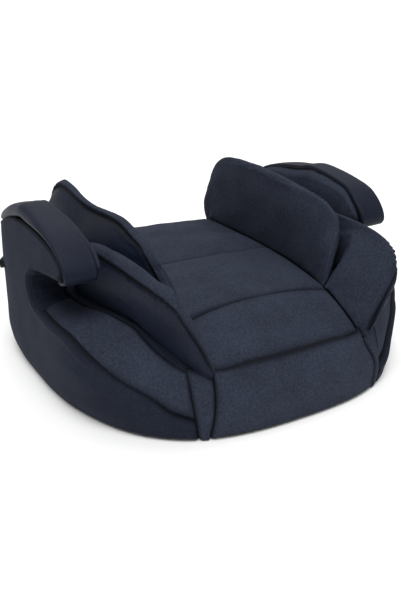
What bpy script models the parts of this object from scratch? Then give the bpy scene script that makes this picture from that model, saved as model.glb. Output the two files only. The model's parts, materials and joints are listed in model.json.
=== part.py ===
"""Backless booster seat: a moulded tray, two bolted arms, foam, a sewn cover in panels and four wings.

Sizes are in millimetres and become metres where a mesh is made. The seat faces -Y, +Z is up, it stands on
z = 0 and x = 0 is its plane of symmetry. Points are worked out for the right side (+X) and mirrored.
"""

import math

import bmesh
import bpy
from mathutils import Matrix, Vector

MM = 0.001

# Overall size
SEAT_WIDTH = 444.0
SEAT_DEPTH = 430.0
ARM_HEIGHT = 215.0
DECK_HEIGHT = 109.0

# Plan shape: the exponents of the two half ellipses, 2 is round and more is squarer
FRONT_SQUARENESS = 2.7
REAR_SQUARENESS = 4.0
TRAY_FRONT_SQUARENESS = 2.2

# How the outside leans and tucks under
SIDE_TUCK = 13.0
SIDE_TUCK_HEIGHT = 45.0
FRONT_TUCK = 3.0
FRONT_TUCK_HEIGHT = 20.0
FRONT_LEAN = 20.0
FRONT_EDGE_DROP = 37.0
REAR_ROLL = 14.0

# Distances from the front edge, along Y
FRONT_SEAM = 31.0
MIDDLE_SEAM = 93.0
WING_TIP = 23.0
WING_STEP = 107.0
REAR_WING_START = 122.0
FRONT_WING_END = 190.0
ARM_NOSE = 122.0
SLOT_END = 235.0

# Distances from the rear edge, along Y
REAR_SEAM = 182.0
ARM_BACK = 43.0
REAR_WING_END = 13.0

# Distances from the widest side, along X
ARM_WIDTH = 42.0
CUSHION_INSET_REAR = 89.0
CUSHION_INSET_MIDDLE = 96.0
CUSHION_INSET_FRONT = 121.0

# Seams across the corner, from the middle plane
INNER_CORNER_SEAM = 101.0
OUTER_CORNER_SEAM = 125.0
REAR_CORNER_SEAM = 166.0

# Thicknesses
PAD = 9.0
TOP_PAD = 14.0
FOAM = 22.0
INSERT_PAD = 7.0
STRIP_PAD = 6.0
LINING = 4.0
PINCH = 2.0
TRAY_WALL = 3.0
RIB = 3.0
RIB_DEPTH = 24.0

# How often a point between two curved edges is worked out again
SETTLE_ROUNDS = 4

# Clearances
SEAM_GAP = 0.8
FIT_GAP = 0.8
BELT_GAP = 3.0
BOARD_GAP = 0.6
STEM_GAP = 0.3

# Arm and slot
STRIP_DROP = 13.0
SLOT_HEIGHT = 42.0

# Base
HEM_LOW = 1.0
HEM_THICK = 2.0
HEM_WIDTH = 16.0
HEM_IN = 6.0
COVER_LOW = 3.6
TRAY_RIM = 6.0
FOOT_RADIUS = 15.0
FOOT_HEIGHT = 5.0
STEM_RADIUS = 4.0
STEM_LENGTH = 9.0
POST_RADIUS = 12.0
FOOT_IN_FROM_SIDE = 84.0
FOOT_IN_FROM_FRONT = 95.0
FOOT_IN_FROM_REAR = 70.0

# Screws that hold the arms
SCREW_RADIUS = 2.4
SCREW_HOLE = 0.3
SCREW_HEAD_RADIUS = 4.5
SCREW_HEAD_HEIGHT = 3.2
SCREW_LENGTH = 22.0
SCREW_FROM_SIDE = 26.0
SCREW_FROM_BACK = (52.0, 112.0)

# Wings
REAR_WING_HEIGHT = 104.0
REAR_WING_BASE_RADIUS = 11.0
REAR_WING_TOP_RADIUS = 6.0
REAR_WING_OFFSET = 13.0
FRONT_WING_TOP = 176.0
FRONT_WING_LEAN = 42.0
FRONT_WING_BASE_RADIUS = 13.0
FRONT_WING_TOP_RADIUS = 6.5
FRONT_WING_OFFSET = 15.0
FRONT_WING_TAIL_OFFSET = 29.0
WING_GAP = 1.5
TAIL_LIFT = 5.0
BOARD_THICK = 4.0
BOARD_SHARE = 0.62

HALF_WIDTH = SEAT_WIDTH / 2
FRONT = -SEAT_DEPTH / 2
REAR = SEAT_DEPTH / 2
ARM_INNER = HALF_WIDTH - ARM_WIDTH
TRAY_DROP = TOP_PAD + FOAM + 2 * FIT_GAP
SIDES = (("right", 1), ("left", -1))


def from_front(distance):
    """The y of a point this far behind the front edge."""
    return FRONT + distance


def from_rear(distance):
    """The y of a point this far before the rear edge."""
    return REAR - distance


def smooth_path(points, steps):
    """A Catmull-Rom curve through the points, with this many steps between each two."""
    ends = [points[0]] + list(points) + [points[-1]]
    path = []
    for before, start, stop, after in zip(ends, ends[1:], ends[2:], ends[3:]):
        for step in range(steps):
            t = step / steps
            path.append(tuple(catmull(*values, t) for values in zip(before, start, stop, after)))
    path.append(tuple(points[-1]))
    return path


def catmull(before, start, stop, after, t):
    """One coordinate of a Catmull-Rom curve between start and stop."""
    linear = stop - before
    square = 2 * before - 5 * start + 4 * stop - after
    cube = 3 * start - before - 3 * stop + after
    return 0.5 * (2 * start + linear * t + square * t * t + cube * t**3)


def follow(points, y):
    """The value at y of a broken line through (y, value) points in rising order of y."""
    if y <= points[0][0]:
        return points[0][1]
    for (low, value), (high, other) in zip(points, points[1:]):
        if y <= high:
            return value + (other - value) * (y - low) / (high - low)
    return points[-1][1]


def quarter_drop(amount, share):
    """How far a quarter-round edge has dropped, where share goes from 0 at its start to 1 at its foot."""
    share = min(max(share, 0.0), 1.0)
    return amount * (1 - math.sqrt(1 - share * share))


def deck_height(y):
    """The height of the seat's top: level, then falling to the front and rolling off at the rear."""
    fall = (from_front(MIDDLE_SEAM) - y) / (MIDDLE_SEAM - FRONT_SEAM)
    roll = (y - from_rear(2 * REAR_ROLL)) / (2 * REAR_ROLL)
    front_drop = FRONT_EDGE_DROP * max(fall, 0.0) ** 1.35
    return DECK_HEIGHT - front_drop - quarter_drop(REAR_ROLL, roll)


def wall_reach(z):
    """How far the outside reaches to the side, the front and the rear at height z."""
    tuck = quarter_drop(1.0, 1 - z / SIDE_TUCK_HEIGHT)
    front_top = DECK_HEIGHT - FRONT_EDGE_DROP
    share = (z - FRONT_TUCK_HEIGHT) / (front_top - FRONT_TUCK_HEIGHT)
    above = max((z - front_top) / FRONT_EDGE_DROP, 0.0)
    lean = FRONT_LEAN * min(max(share, 0.0), 1.0) ** 1.5 * max(1 - above, 0.0)
    side = HALF_WIDTH - SIDE_TUCK * tuck
    front = SEAT_DEPTH / 2 - lean - quarter_drop(FRONT_TUCK, 1 - z / FRONT_TUCK_HEIGHT)
    rear = SEAT_DEPTH / 2 - SIDE_TUCK * tuck / 2
    return side, front, rear


def wall_point(turn, z, depth=0.0, squareness=FRONT_SQUARENESS):
    """A point of the outside, this deep under it. turn is 0 at the right side and pi / 2 at the front."""
    side, front, rear = wall_reach(z)
    at_front = math.sin(turn) > 0
    power = 2 / (squareness if at_front else REAR_SQUARENESS)
    reach = front if at_front else rear
    across = math.copysign(abs(math.cos(turn)) ** power, math.cos(turn))
    along = math.copysign(abs(math.sin(turn)) ** power, math.sin(turn))
    return Vector(((side - depth) * across, -(reach - depth) * along, z))


def front_turn(x):
    """The turn at which the front of the outside is x from the middle plane."""
    return math.acos((x / HALF_WIDTH) ** (FRONT_SQUARENESS / 2))


def rear_turn(x):
    """The turn at which the rear of the outside is x from the middle plane."""
    return -math.acos((x / HALF_WIDTH) ** (REAR_SQUARENESS / 2))


def wall_x(y, z, depth=0.0):
    """How far from the middle plane the outside is at this y and z."""
    side, front, rear = wall_reach(z)
    squareness = FRONT_SQUARENESS if y < 0 else REAR_SQUARENESS
    reach = (front if y < 0 else rear) - depth
    left = max(1 - abs(y / reach) ** squareness, 0.0)
    return (side - depth) * left ** (1 / squareness)


def edge_y(x, depth, ahead=True):
    """The y of the seat top's front or rear edge at this x, this deep under the outside."""
    side, front, rear = wall_reach(DECK_HEIGHT - FRONT_EDGE_DROP)
    squareness = FRONT_SQUARENESS if ahead else REAR_SQUARENESS
    left = max(1 - abs(x / (side - depth)) ** squareness, 0.0)
    along = left ** (1 / squareness)
    return -(front - depth) * along if ahead else (rear - depth) * along


def cushion_edge(y):
    """Half the width of the seat cushion at y, up to the foot of the wings."""
    points = [
        (from_front(WING_TIP), HALF_WIDTH - CUSHION_INSET_FRONT),
        (from_front(MIDDLE_SEAM), HALF_WIDTH - CUSHION_INSET_FRONT + 2),
        (0.0, HALF_WIDTH - CUSHION_INSET_MIDDLE),
        (from_rear(REAR_WING_END), HALF_WIDTH - CUSHION_INSET_REAR),
    ]
    return follow(points, y)


def shoulder_path():
    """The seam along the foot of the front wing's outer side, from the slot to the corner, on the right."""
    points = [
        (ARM_INNER - 2, from_front(SLOT_END - 22)),
        (ARM_INNER - 4, from_front(176)),
        (ARM_INNER - 18, from_front(141)),
        (ARM_INNER - 24, from_front(108)),
        (ARM_INNER - 32, from_front(74)),
        (ARM_INNER - 42, from_front(53)),
        (OUTER_CORNER_SEAM + 2, from_front(39)),
    ]
    return [Vector((x, y, deck_height(y) - 1)) for x, y in smooth_path(points, 5)]


def belt_line(drop=0.0):
    """The seam on the outside from the slot down to the front corner, as (y, z), lowered by drop."""
    corner_z = DECK_HEIGHT - 85
    corner = wall_point(front_turn(OUTER_CORNER_SEAM + 2), corner_z)
    points = [
        (from_front(SLOT_END - 22), DECK_HEIGHT - 3),
        (from_front(177), DECK_HEIGHT - 3),
        (from_front(130), DECK_HEIGHT - 4),
        (from_front(107), DECK_HEIGHT - 14),
        (from_front(86), DECK_HEIGHT - 30),
        (from_front(68), DECK_HEIGHT - 44),
        (from_front(46), DECK_HEIGHT - 60),
        (from_front(32), DECK_HEIGHT - 75),
        (corner.y, corner_z),
    ]
    return [(y, z - drop) for y, z in smooth_path(points, 4)]


def arm_crown():
    """The arm's top from its back to its nose, as (y, z), at shares of the way between the two."""
    back = from_rear(ARM_BACK)
    length = back - from_front(ARM_NOSE)
    rise = (ARM_HEIGHT - DECK_HEIGHT) / 106
    points = [(-0.015, 98), (0.0, 75), (0.02, 57), (0.07, 44), (0.14, 35), (0.33, 14)]
    points += [(0.53, 0.4), (0.69, 4), (0.84, 13), (0.955, 28), (1.0, 44)]
    return smooth_path([(back - share * length, ARM_HEIGHT - drop * rise) for share, drop in points], 4)


def slot_edge(grow=0.0):
    """The belt slot's edge from under the nose round its end to its floor, as (y, z), widened by grow."""
    top = DECK_HEIGHT + SLOT_HEIGHT + grow
    low = DECK_HEIGHT - 2 - grow
    end = from_front(SLOT_END) + grow
    points = [
        (from_front(ARM_NOSE + 7), top + 8),
        (from_front(163), top + 3),
        (from_front(195), top),
        (end - 21, top - 7),
        (end - 6, top - 16),
        (end, (top + low) / 2),
        (end - 7, low + 7),
        (end - 24, low),
    ]
    return smooth_path(points, 4)


def offset_path(path, distance):
    """A (y, z) path moved this far into the arm, for a path that runs from the arm's back over its nose."""
    moved = []
    for i, (y, z) in enumerate(path):
        before = path[max(i - 1, 0)]
        after = path[min(i + 1, len(path) - 1)]
        along = Vector((after[0] - before[0], after[1] - before[1])).normalized()
        moved.append((y - along.y * distance, z + along.x * distance))
    return moved


def make_material(name, color, roughness, metallic=0.0):
    """A Principled BSDF material with a plain colour."""
    material = bpy.data.materials.new(name)
    material.use_nodes = True
    shader = material.node_tree.nodes["Principled BSDF"]
    shader.inputs["Base Color"].default_value = (*color, 1.0)
    shader.inputs["Roughness"].default_value = roughness
    shader.inputs["Metallic"].default_value = metallic
    return material


def add_solid(name, build, material, origin=(0.0, 0.0, 0.0), side=1):
    """A named object from a bmesh in millimetres about this origin, mirrored when side is -1."""
    if side < 0:
        bmesh.ops.scale(build, vec=(-1, 1, 1), verts=build.verts)
    middle = Vector(origin)
    middle.x *= side
    bmesh.ops.translate(build, vec=-middle, verts=build.verts)
    bmesh.ops.scale(build, vec=(MM, MM, MM), verts=build.verts)
    bmesh.ops.recalc_face_normals(build, faces=build.faces)
    mesh = bpy.data.meshes.new(name)
    build.to_mesh(mesh)
    build.free()
    mesh.materials.append(material)
    mesh.shade_smooth()
    mesh.set_sharp_from_angle(angle=math.radians(35))
    solid = bpy.data.objects.new(name, mesh)
    solid.location = middle * MM
    bpy.context.scene.collection.objects.link(solid)
    return solid


def add_cutter(name, build, side=1):
    """A helper for Booleans that no render shows."""
    cutter = add_solid(name, build, bpy.data.materials["guide"], side=side)
    cutter.hide_render = True
    cutter.display_type = "WIRE"
    return cutter


def boolean(solid, cutter, operation):
    """Cuts, joins or intersects a solid with a cutter."""
    modifier = solid.modifiers.new(cutter.name, "BOOLEAN")
    modifier.object = cutter
    modifier.operation = operation
    modifier.solver = "EXACT"


def skin_rings(build, rings, joined=False):
    """Faces between rings of equally many points, and from the last to the first when joined."""
    rows = [[build.verts.new(point) for point in ring] for ring in rings]
    pairs = list(zip(rows, rows[1:] + rows[:1])) if joined else list(zip(rows, rows[1:]))
    for row, following in pairs:
        for i, vert in enumerate(row):
            j = (i + 1) % len(row)
            build.faces.new((vert, row[j], following[j], following[i]))
    return rows


def loft(rings):
    """A closed solid through rings of equally many points, capped flat at both ends."""
    build = bmesh.new()
    rows = skin_rings(build, rings)
    build.faces.new(rows[0])
    build.faces.new(rows[-1])
    return build


def slab(outer, inner):
    """A closed pad between two equal grids of points, whose ends follow the grids."""
    build = bmesh.new()
    rows = skin_rings(build, [list(top) + list(reversed(low)) for top, low in zip(outer, inner)])
    for row in (rows[0], rows[-1]):
        half = len(row) // 2
        for i in range(half - 1):
            build.faces.new((row[i], row[i + 1], row[-2 - i], row[-1 - i]))
    return build


def prism(outline, low, high):
    """A solid with this (y, z) outline, from x = low to x = high."""
    return loft([[Vector((x, y, z)) for y, z in outline] for x in (low, high)])


def pinched(u, v, full, edge=PINCH):
    """The thickness of a pad at u, v from 0 to 1: full in the middle and thin along its seams."""
    fade = (1 - abs(2 * u - 1) ** 8) * (1 - abs(2 * v - 1) ** 8)
    return edge + (full - edge) * fade


def spread(low, high, count):
    """Evenly spaced values from low to high."""
    return [low + (high - low) * i / (count - 1) for i in range(count)]


def wall_pad(turns, low, high):
    """A pad on the outside, between two turns and from height low to the height high(turn)."""
    outer, inner = [], []
    shares = spread(0.0, 1.0, 9)
    for i, turn in enumerate(turns):
        u = i / (len(turns) - 1)
        heights = [low + (high(turn) - low) * v for v in shares]
        depths = [pinched(u, v, PAD, PAD / 2) for v in shares]
        outer.append([wall_point(turn, z) for z in heights])
        inner.append([wall_point(turn, z, deep) for z, deep in zip(heights, depths)])
    return slab(outer, inner)


def deck_pad(left, right, start, stop, top_gap, thick):
    """A pad on the seat's top, between the lines left(y) and right(y) and from start(x) to stop(x)."""
    outer, inner = [], []
    rows = max(int((stop(0.0) - start(0.0)) / 9), 6)
    for u in spread(0.0, 1.0, rows):
        line, under = [], []
        columns = spread(0.0, 1.0, 9)
        for v in columns:
            y = start(0.0) + (stop(0.0) - start(0.0)) * u
            for _ in range(SETTLE_ROUNDS):
                x = left(y) + (right(y) - left(y)) * v
                y = start(x) + (stop(x) - start(x)) * u
            z = deck_height(y) - top_gap
            line.append(Vector((x, y, z)))
            under.append(Vector((x, y, z - pinched(u, v, thick, thick / 2))))
        outer.append(line)
        inner.append(under)
    return slab(outer, inner)


def cylinder(radius, low, high, x, y, segments=32):
    """A closed upright cylinder."""
    build = bmesh.new()
    place = Matrix.Translation((x, y, (low + high) / 2))
    size = {"radius1": radius, "radius2": radius, "depth": high - low}
    bmesh.ops.create_cone(build, cap_ends=True, segments=segments, matrix=place, **size)
    return build


def box(low, high):
    """A closed box between two corners."""
    build = bmesh.new()
    size = Vector(high) - Vector(low)
    middle = (Vector(high) + Vector(low)) / 2
    bmesh.ops.create_cube(build, size=1.0, matrix=Matrix.Translation(middle) @ Matrix.Diagonal((*size, 1)))
    return build


def turned(profile, x, y, segments=32):
    """A closed solid turned from an (r, z) profile, whose first and last points lie on its axis."""
    build = bmesh.new()
    points = [Vector((x + radius, y, z)) for radius, z in profile]
    verts = [build.verts.new(point) for point in points]
    edges = [build.edges.new(pair) for pair in zip(verts, verts[1:])]
    bmesh.ops.spin(
        build,
        geom=verts + edges,
        cent=(x, y, 0),
        axis=(0, 0, 1),
        angle=math.tau,
        steps=segments,
        use_merge=True,
    )
    bmesh.ops.remove_doubles(build, verts=build.verts, dist=1e-4)
    return build


def tray_height(y):
    """The height of the tray's top under the foam."""
    level = min(max(y, from_front(FRONT_SEAM)), from_rear(2 * REAR_ROLL))
    return deck_height(level) - TRAY_DROP


def tray_rings(depth, low):
    """Rings over one face of the tray, from the middle of its top to its rim, this deep in the seat."""
    turns = spread(0.0, math.tau, 97)[:-1]
    drop = depth - PAD - FIT_GAP
    edge = []
    for turn in turns:
        guess = wall_point(turn, DECK_HEIGHT / 2, depth, TRAY_FRONT_SQUARENESS)
        top = tray_height(guess.y) - drop
        edge.append(wall_point(turn, top, depth, TRAY_FRONT_SQUARENESS))
    rings = []
    for share in (0.08, 0.25, 0.4, 0.55, 0.7, 0.85, 0.95):
        rings.append([Vector((p.x * share, p.y * share, tray_height(p.y * share) - drop)) for p in edge])
    for share in spread(0.0, 1.0, 7):
        ring = []
        for turn, top in zip(turns, edge):
            z = top.z + (low - top.z) * share
            ring.append(wall_point(turn, z, depth, TRAY_FRONT_SQUARENESS))
        rings.append(ring)
    return rings


def foot_places():
    """Each foot's name and place."""
    places = []
    for label, y in (("front", from_front(FOOT_IN_FROM_FRONT)), ("rear", from_rear(FOOT_IN_FROM_REAR))):
        for name, side in SIDES:
            places.append((f"foot_{label}_{name}", side * (HALF_WIDTH - FOOT_IN_FROM_SIDE), y))
    return places


def screw_places():
    """Each arm screw's place on the right side."""
    x = HALF_WIDTH - SCREW_FROM_SIDE
    return [(x, from_rear(ARM_BACK + back)) for back in SCREW_FROM_BACK]


def build_tray(materials):
    """The moulded tray, open below, with ribs, posts for the feet and holes for the arm screws."""
    outer = tray_rings(PAD + FIT_GAP, TRAY_RIM)
    inner = tray_rings(PAD + FIT_GAP + TRAY_WALL, TRAY_RIM)
    tray = add_solid("base_tray", loft(outer + inner[::-1]), materials["tray"])
    top = DECK_HEIGHT - TRAY_DROP - TRAY_WALL / 2
    reach = cushion_edge(0.0) - POST_RADIUS
    back = from_rear(2 * REAR_ROLL + 12)
    front = from_front(MIDDLE_SEAM + 30)
    ribs = []
    for share in (-0.6, 0.0, 0.6):
        x = share * reach
        ribs.append(((x - RIB / 2, front, top - RIB_DEPTH), (x + RIB / 2, back, top)))
    for y in spread(front, back, 4):
        ribs.append(((-reach, y - RIB / 2, top - RIB_DEPTH * 0.9), (reach, y + RIB / 2, top - 0.4)))
    for number, (low, high) in enumerate(ribs):
        boolean(tray, add_cutter(f"rib_{number}", box(low, high)), "UNION")
    for name, x, y in foot_places():
        post = cylinder(POST_RADIUS, FOOT_HEIGHT + STEM_GAP, top - 0.2, x, y)
        boolean(tray, add_cutter(f"post_{name}", post), "UNION")
        hole = cylinder(STEM_RADIUS + STEM_GAP, 0, FOOT_HEIGHT + STEM_LENGTH + 1, x, y)
        boolean(tray, add_cutter(f"hole_{name}", hole), "DIFFERENCE")
    for label, side in SIDES:
        for number, (x, y) in enumerate(screw_places()):
            hole = cylinder(SCREW_RADIUS + SCREW_HOLE, top - 15, top + 15, x, y, 24)
            boolean(tray, add_cutter(f"tray_hole_{label}_{number}", hole, side), "DIFFERENCE")


def build_feet(materials):
    """Four rubber feet, each with a stem in its post."""
    for name, x, y in foot_places():
        profile = [
            (0, 0),
            (FOOT_RADIUS - 1.5, 0),
            (FOOT_RADIUS, 1.5),
            (FOOT_RADIUS, FOOT_HEIGHT - 1),
            (FOOT_RADIUS - 1, FOOT_HEIGHT),
            (STEM_RADIUS, FOOT_HEIGHT),
            (STEM_RADIUS, FOOT_HEIGHT + STEM_LENGTH - 1),
            (STEM_RADIUS - 1, FOOT_HEIGHT + STEM_LENGTH),
            (0, FOOT_HEIGHT + STEM_LENGTH),
        ]
        add_solid(name, turned(profile, x, y), materials["rubber"], (x, y, 0))


def build_screws(materials):
    """The pan-head screws that come up through the tray into the arm cores."""
    seat = DECK_HEIGHT - TRAY_DROP - TRAY_WALL - STEM_GAP
    for label, side in SIDES:
        for number, (x, y) in enumerate(screw_places()):
            profile = [
                (0, seat - SCREW_HEAD_HEIGHT),
                (SCREW_HEAD_RADIUS * 0.7, seat - SCREW_HEAD_HEIGHT),
                (SCREW_HEAD_RADIUS, seat - SCREW_HEAD_HEIGHT * 0.4),
                (SCREW_HEAD_RADIUS, seat),
                (SCREW_RADIUS, seat),
                (SCREW_RADIUS, seat + SCREW_LENGTH - 3),
                (0, seat + SCREW_LENGTH),
            ]
            name = f"arm_screw_{label}_{number + 1}"
            add_solid(name, turned(profile, x, y, 24), materials["steel"], (x, y, seat), side)


def build_hem(materials):
    """The elastic hem of the cover, turned in under the tray's rim."""
    turns = spread(0.0, math.tau, 97)[:-1]
    rings = []
    high = HEM_LOW + HEM_THICK
    for depth, z in ((HEM_IN, HEM_LOW), (HEM_IN, high), (HEM_WIDTH, high), (HEM_WIDTH, HEM_LOW)):
        rings.append([Vector((*wall_point(turn, HEM_LOW, depth).xy, z)) for turn in turns])
    build = bmesh.new()
    skin_rings(build, rings, joined=True)
    add_solid("cover_hem", build, materials["elastic"])


def build_cushion(materials):
    """The foam and the three sewn panels of the seat's top."""
    gap = SEAM_GAP / 2

    def right(y):
        return cushion_edge(y) - gap

    def left(y):
        return -right(y)

    def line(y):
        return lambda _: y

    def front(x):
        return edge_y(x, PAD + gap)

    def back(x):
        return edge_y(x, PAD + gap, ahead=False)

    foam = deck_pad(
        left, right, lambda x: front(x) + TOP_PAD, lambda x: back(x) - TOP_PAD, TOP_PAD + FIT_GAP, FOAM
    )
    add_solid("seat_foam", foam, materials["foam"])
    middle = from_front(MIDDLE_SEAM)
    rear = from_rear(REAR_SEAM)
    panels = (
        ("seat_panel_front", front, line(middle - gap)),
        ("seat_panel_middle", line(middle + gap), line(rear - gap)),
        ("seat_panel_rear", line(rear + gap), back),
    )
    for name, start, stop in panels:
        add_solid(name, deck_pad(left, right, start, stop, 0.0, TOP_PAD), materials["knit"])


def build_walls(materials):
    """The front panel, the rear panel and the narrow corner strips."""
    gap = SEAM_GAP / 2
    top = DECK_HEIGHT - FRONT_EDGE_DROP - 1
    turn = front_turn(INNER_CORNER_SEAM - gap)
    front = wall_pad(spread(turn, math.pi - turn, 25), COVER_LOW, lambda _: top)
    add_solid("front_panel", front, materials["knit"])
    back_top = DECK_HEIGHT - REAR_ROLL + 1
    turn = rear_turn(REAR_CORNER_SEAM - gap)
    rear = wall_pad(spread(turn, -math.pi - turn, 33), COVER_LOW, lambda _: back_top)
    add_solid("rear_panel", rear, materials["knit_side"])
    for label, side in SIDES:
        turns = spread(front_turn(OUTER_CORNER_SEAM - gap), front_turn(INNER_CORNER_SEAM + gap), 7)
        strip = wall_pad(turns, COVER_LOW, lambda _: top)
        add_solid(f"corner_strip_{label}", strip, materials["knit"], side=side)


def build_channel(label, side, materials):
    """The low pad between the cushion and the arm, which the wings stand on and the belt crosses."""
    shoulder = [(point.y, point.x) for point in reversed(shoulder_path())]
    outer_line = shoulder + [(from_rear(ARM_BACK), ARM_INNER - 2)]

    def outer(y):
        return follow(outer_line, y) - SEAM_GAP

    def inner(y):
        return cushion_edge(y) + SEAM_GAP / 2

    def start(x):
        return edge_y(x, PAD + SEAM_GAP)

    def stop(x):
        return edge_y(x, PAD + SEAM_GAP, ahead=False)

    pad = deck_pad(inner, outer, start, stop, 1.0, TOP_PAD)
    add_solid(f"side_channel_{label}", pad, materials["knit_side"], side=side)


def build_insert(label, side, materials):
    """The sewn-in panel that swells over the shoulder, from the wing's foot to the belt line."""
    upper = shoulder_path()
    lower = [Vector((wall_x(y, z), y, z)) for y, z in belt_line()]
    outer, inner = [], []
    for s in spread(0.0, 1.0, 31):
        start = sample(upper, s)
        stop = sample(lower, s)
        normal = (stop - start).cross(sample(upper, s - 0.05) - sample(upper, s + 0.05)).normalized()
        normal = normal if normal.z > 0 else -normal
        line, under = [], []
        for v in spread(0.02, 0.97, 9):
            point = start.lerp(stop, v)
            line.append(point + normal * (pinched(s, v, INSERT_PAD) - SEAM_GAP))
            under.append(point - normal * SEAM_GAP)
        outer.append(line)
        inner.append(under)
    add_solid(f"side_insert_{label}", slab(outer, inner), materials["knit"], side=side)


def sample(path, share):
    """The point this share of the way along a list of evenly weighted points."""
    place = min(max(share, 0.0), 1.0) * (len(path) - 1)
    index = min(int(place), len(path) - 2)
    return path[index].lerp(path[index + 1], place - index)


def strip(path, inset, thick, low, high):
    """A strip of cover along a (y, z) path, from x = low to x = high, this far inside the path."""
    outer = [[Vector((x, y, z)) for x in (low, high)] for y, z in offset_path(path, inset)]
    inner = [[Vector((x, y, z)) for x in (low, high)] for y, z in offset_path(path, inset + thick)]
    return slab(outer, inner)


def inside_limit(depth, low):
    """A solid of all that lies this deep in the outside, from z = low up, to intersect with."""
    turns = spread(0.0, math.tau, 129)[:-1]
    rings = []
    for z in (low, ARM_HEIGHT + 5):
        rings.append([Vector((*wall_point(turn, DECK_HEIGHT, depth).xy, z)) for turn in turns])
    return loft(rings)


def build_arm(label, side, materials):
    """One arm: its moulded core, and the cover's outer, top, inner and slot pieces."""
    crown = arm_crown()
    slot = slot_edge()
    back = from_rear(ARM_BACK)
    strip_in = STRIP_PAD + FIT_GAP
    foot = DECK_HEIGHT - TRAY_DROP + STEM_GAP

    first = front_turn(OUTER_CORNER_SEAM + SEAM_GAP / 2)
    turns = spread(first, rear_turn(REAR_CORNER_SEAM + SEAM_GAP / 2), 57)
    skin = wall_pad(turns, COVER_LOW, lambda _: ARM_HEIGHT)
    panel = add_solid(f"side_panel_{label}", skin, materials["knit_side"], side=side)
    ledge = DECK_HEIGHT - REAR_ROLL + 1
    outside = [(back + 60, 0.0), (back + 60, ledge), (back - strip_in, ledge)]
    within = offset_path(crown, strip_in)
    lowered = []
    for (y, z), (inner_y, _) in list(zip(crown, within))[4:-4]:
        lowered.append((min(y, inner_y, back - strip_in), z - STRIP_DROP))
    belt = belt_line(BELT_GAP)
    step = [(belt[0][0] + SEAM_GAP, belt[0][1])]
    outline = outside + lowered + slot[:-2] + step + belt + [(FRONT, belt[-1][1]), (FRONT, 0.0)]
    keep = add_cutter(f"panel_outline_{label}", prism(outline, 60.0, HALF_WIDTH + 20), side)
    boolean(panel, keep, "INTERSECT")

    limit = add_cutter(f"arm_limit_{label}", inside_limit(PAD + FIT_GAP, foot - 10), side)
    core_slot = offset_path(slot, LINING + FIT_GAP)[3:-2]
    core_outline = [(back - strip_in, foot)] + within[:-3] + core_slot
    low_front = [(core_slot[-1][0] + 4, foot)]
    core = prism(core_outline + low_front, ARM_INNER + strip_in, HALF_WIDTH)
    arm = add_solid(f"arm_core_{label}", core, materials["tray"], side=side)
    boolean(arm, limit, "INTERSECT")
    for number, (x, y) in enumerate(screw_places()):
        hole = cylinder(SCREW_RADIUS + SCREW_HOLE, foot - 12, foot + SCREW_LENGTH, x, y, 24)
        boolean(arm, add_cutter(f"arm_hole_{label}_{number}", hole, side), "DIFFERENCE")

    top = strip(crown, 0.0, STRIP_PAD, ARM_INNER, HALF_WIDTH + 5)
    top_strip = add_solid(f"arm_top_strip_{label}", top, materials["satin"], side=side)
    edge = add_cutter(f"strip_limit_{label}", inside_limit(1.0, foot), side)
    boolean(top_strip, edge, "INTERSECT")

    lining = strip(slot[1:-4], 0.0, LINING, ARM_INNER + strip_in, HALF_WIDTH)
    slot_lining = add_solid(f"slot_lining_{label}", lining, materials["knit_side"], side=side)
    boolean(slot_lining, limit, "INTERSECT")

    inner_top = within[:-3]
    inner_slot = offset_path(slot, FIT_GAP)[1:-2]
    low_edge = [(inner_slot[-1][0] + 2, foot + FOAM)]
    inner_outline = [(back - strip_in, foot + FOAM)] + inner_top + inner_slot + low_edge
    inner_cover = prism(inner_outline, ARM_INNER, ARM_INNER + STRIP_PAD)
    cover = add_solid(f"arm_inner_cover_{label}", inner_cover, materials["knit_side"], side=side)
    boolean(cover, limit, "INTERSECT")


def capsule_ring(y, base, base_radius, top, top_radius, points=9):
    """The closed outline round two circles in the plane of this y, as a flap's cross-section."""
    reach = Vector(top) - Vector(base)
    middle = math.atan2(reach.y, reach.x)
    spreadout = math.acos((base_radius - top_radius) / reach.length)
    ring = []
    arcs = (
        (base, base_radius, spread(middle + spreadout, middle + math.tau - spreadout, points)),
        (top, top_radius, spread(middle - spreadout, middle + spreadout, points)),
    )
    for (x, z), radius, angles in arcs:
        for angle in angles:
            ring.append(Vector((x + radius * math.cos(angle), y, z + radius * math.sin(angle))))
    return ring


def rear_wing_hinge():
    """The two ends of the rear wing's hinge line, front and rear."""
    z = DECK_HEIGHT + WING_GAP + REAR_WING_BASE_RADIUS
    ends = []
    for y in (from_front(REAR_WING_START), from_rear(REAR_WING_END)):
        ends.append(Vector((cushion_edge(y) + REAR_WING_OFFSET, y, z)))
    return ends


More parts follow.
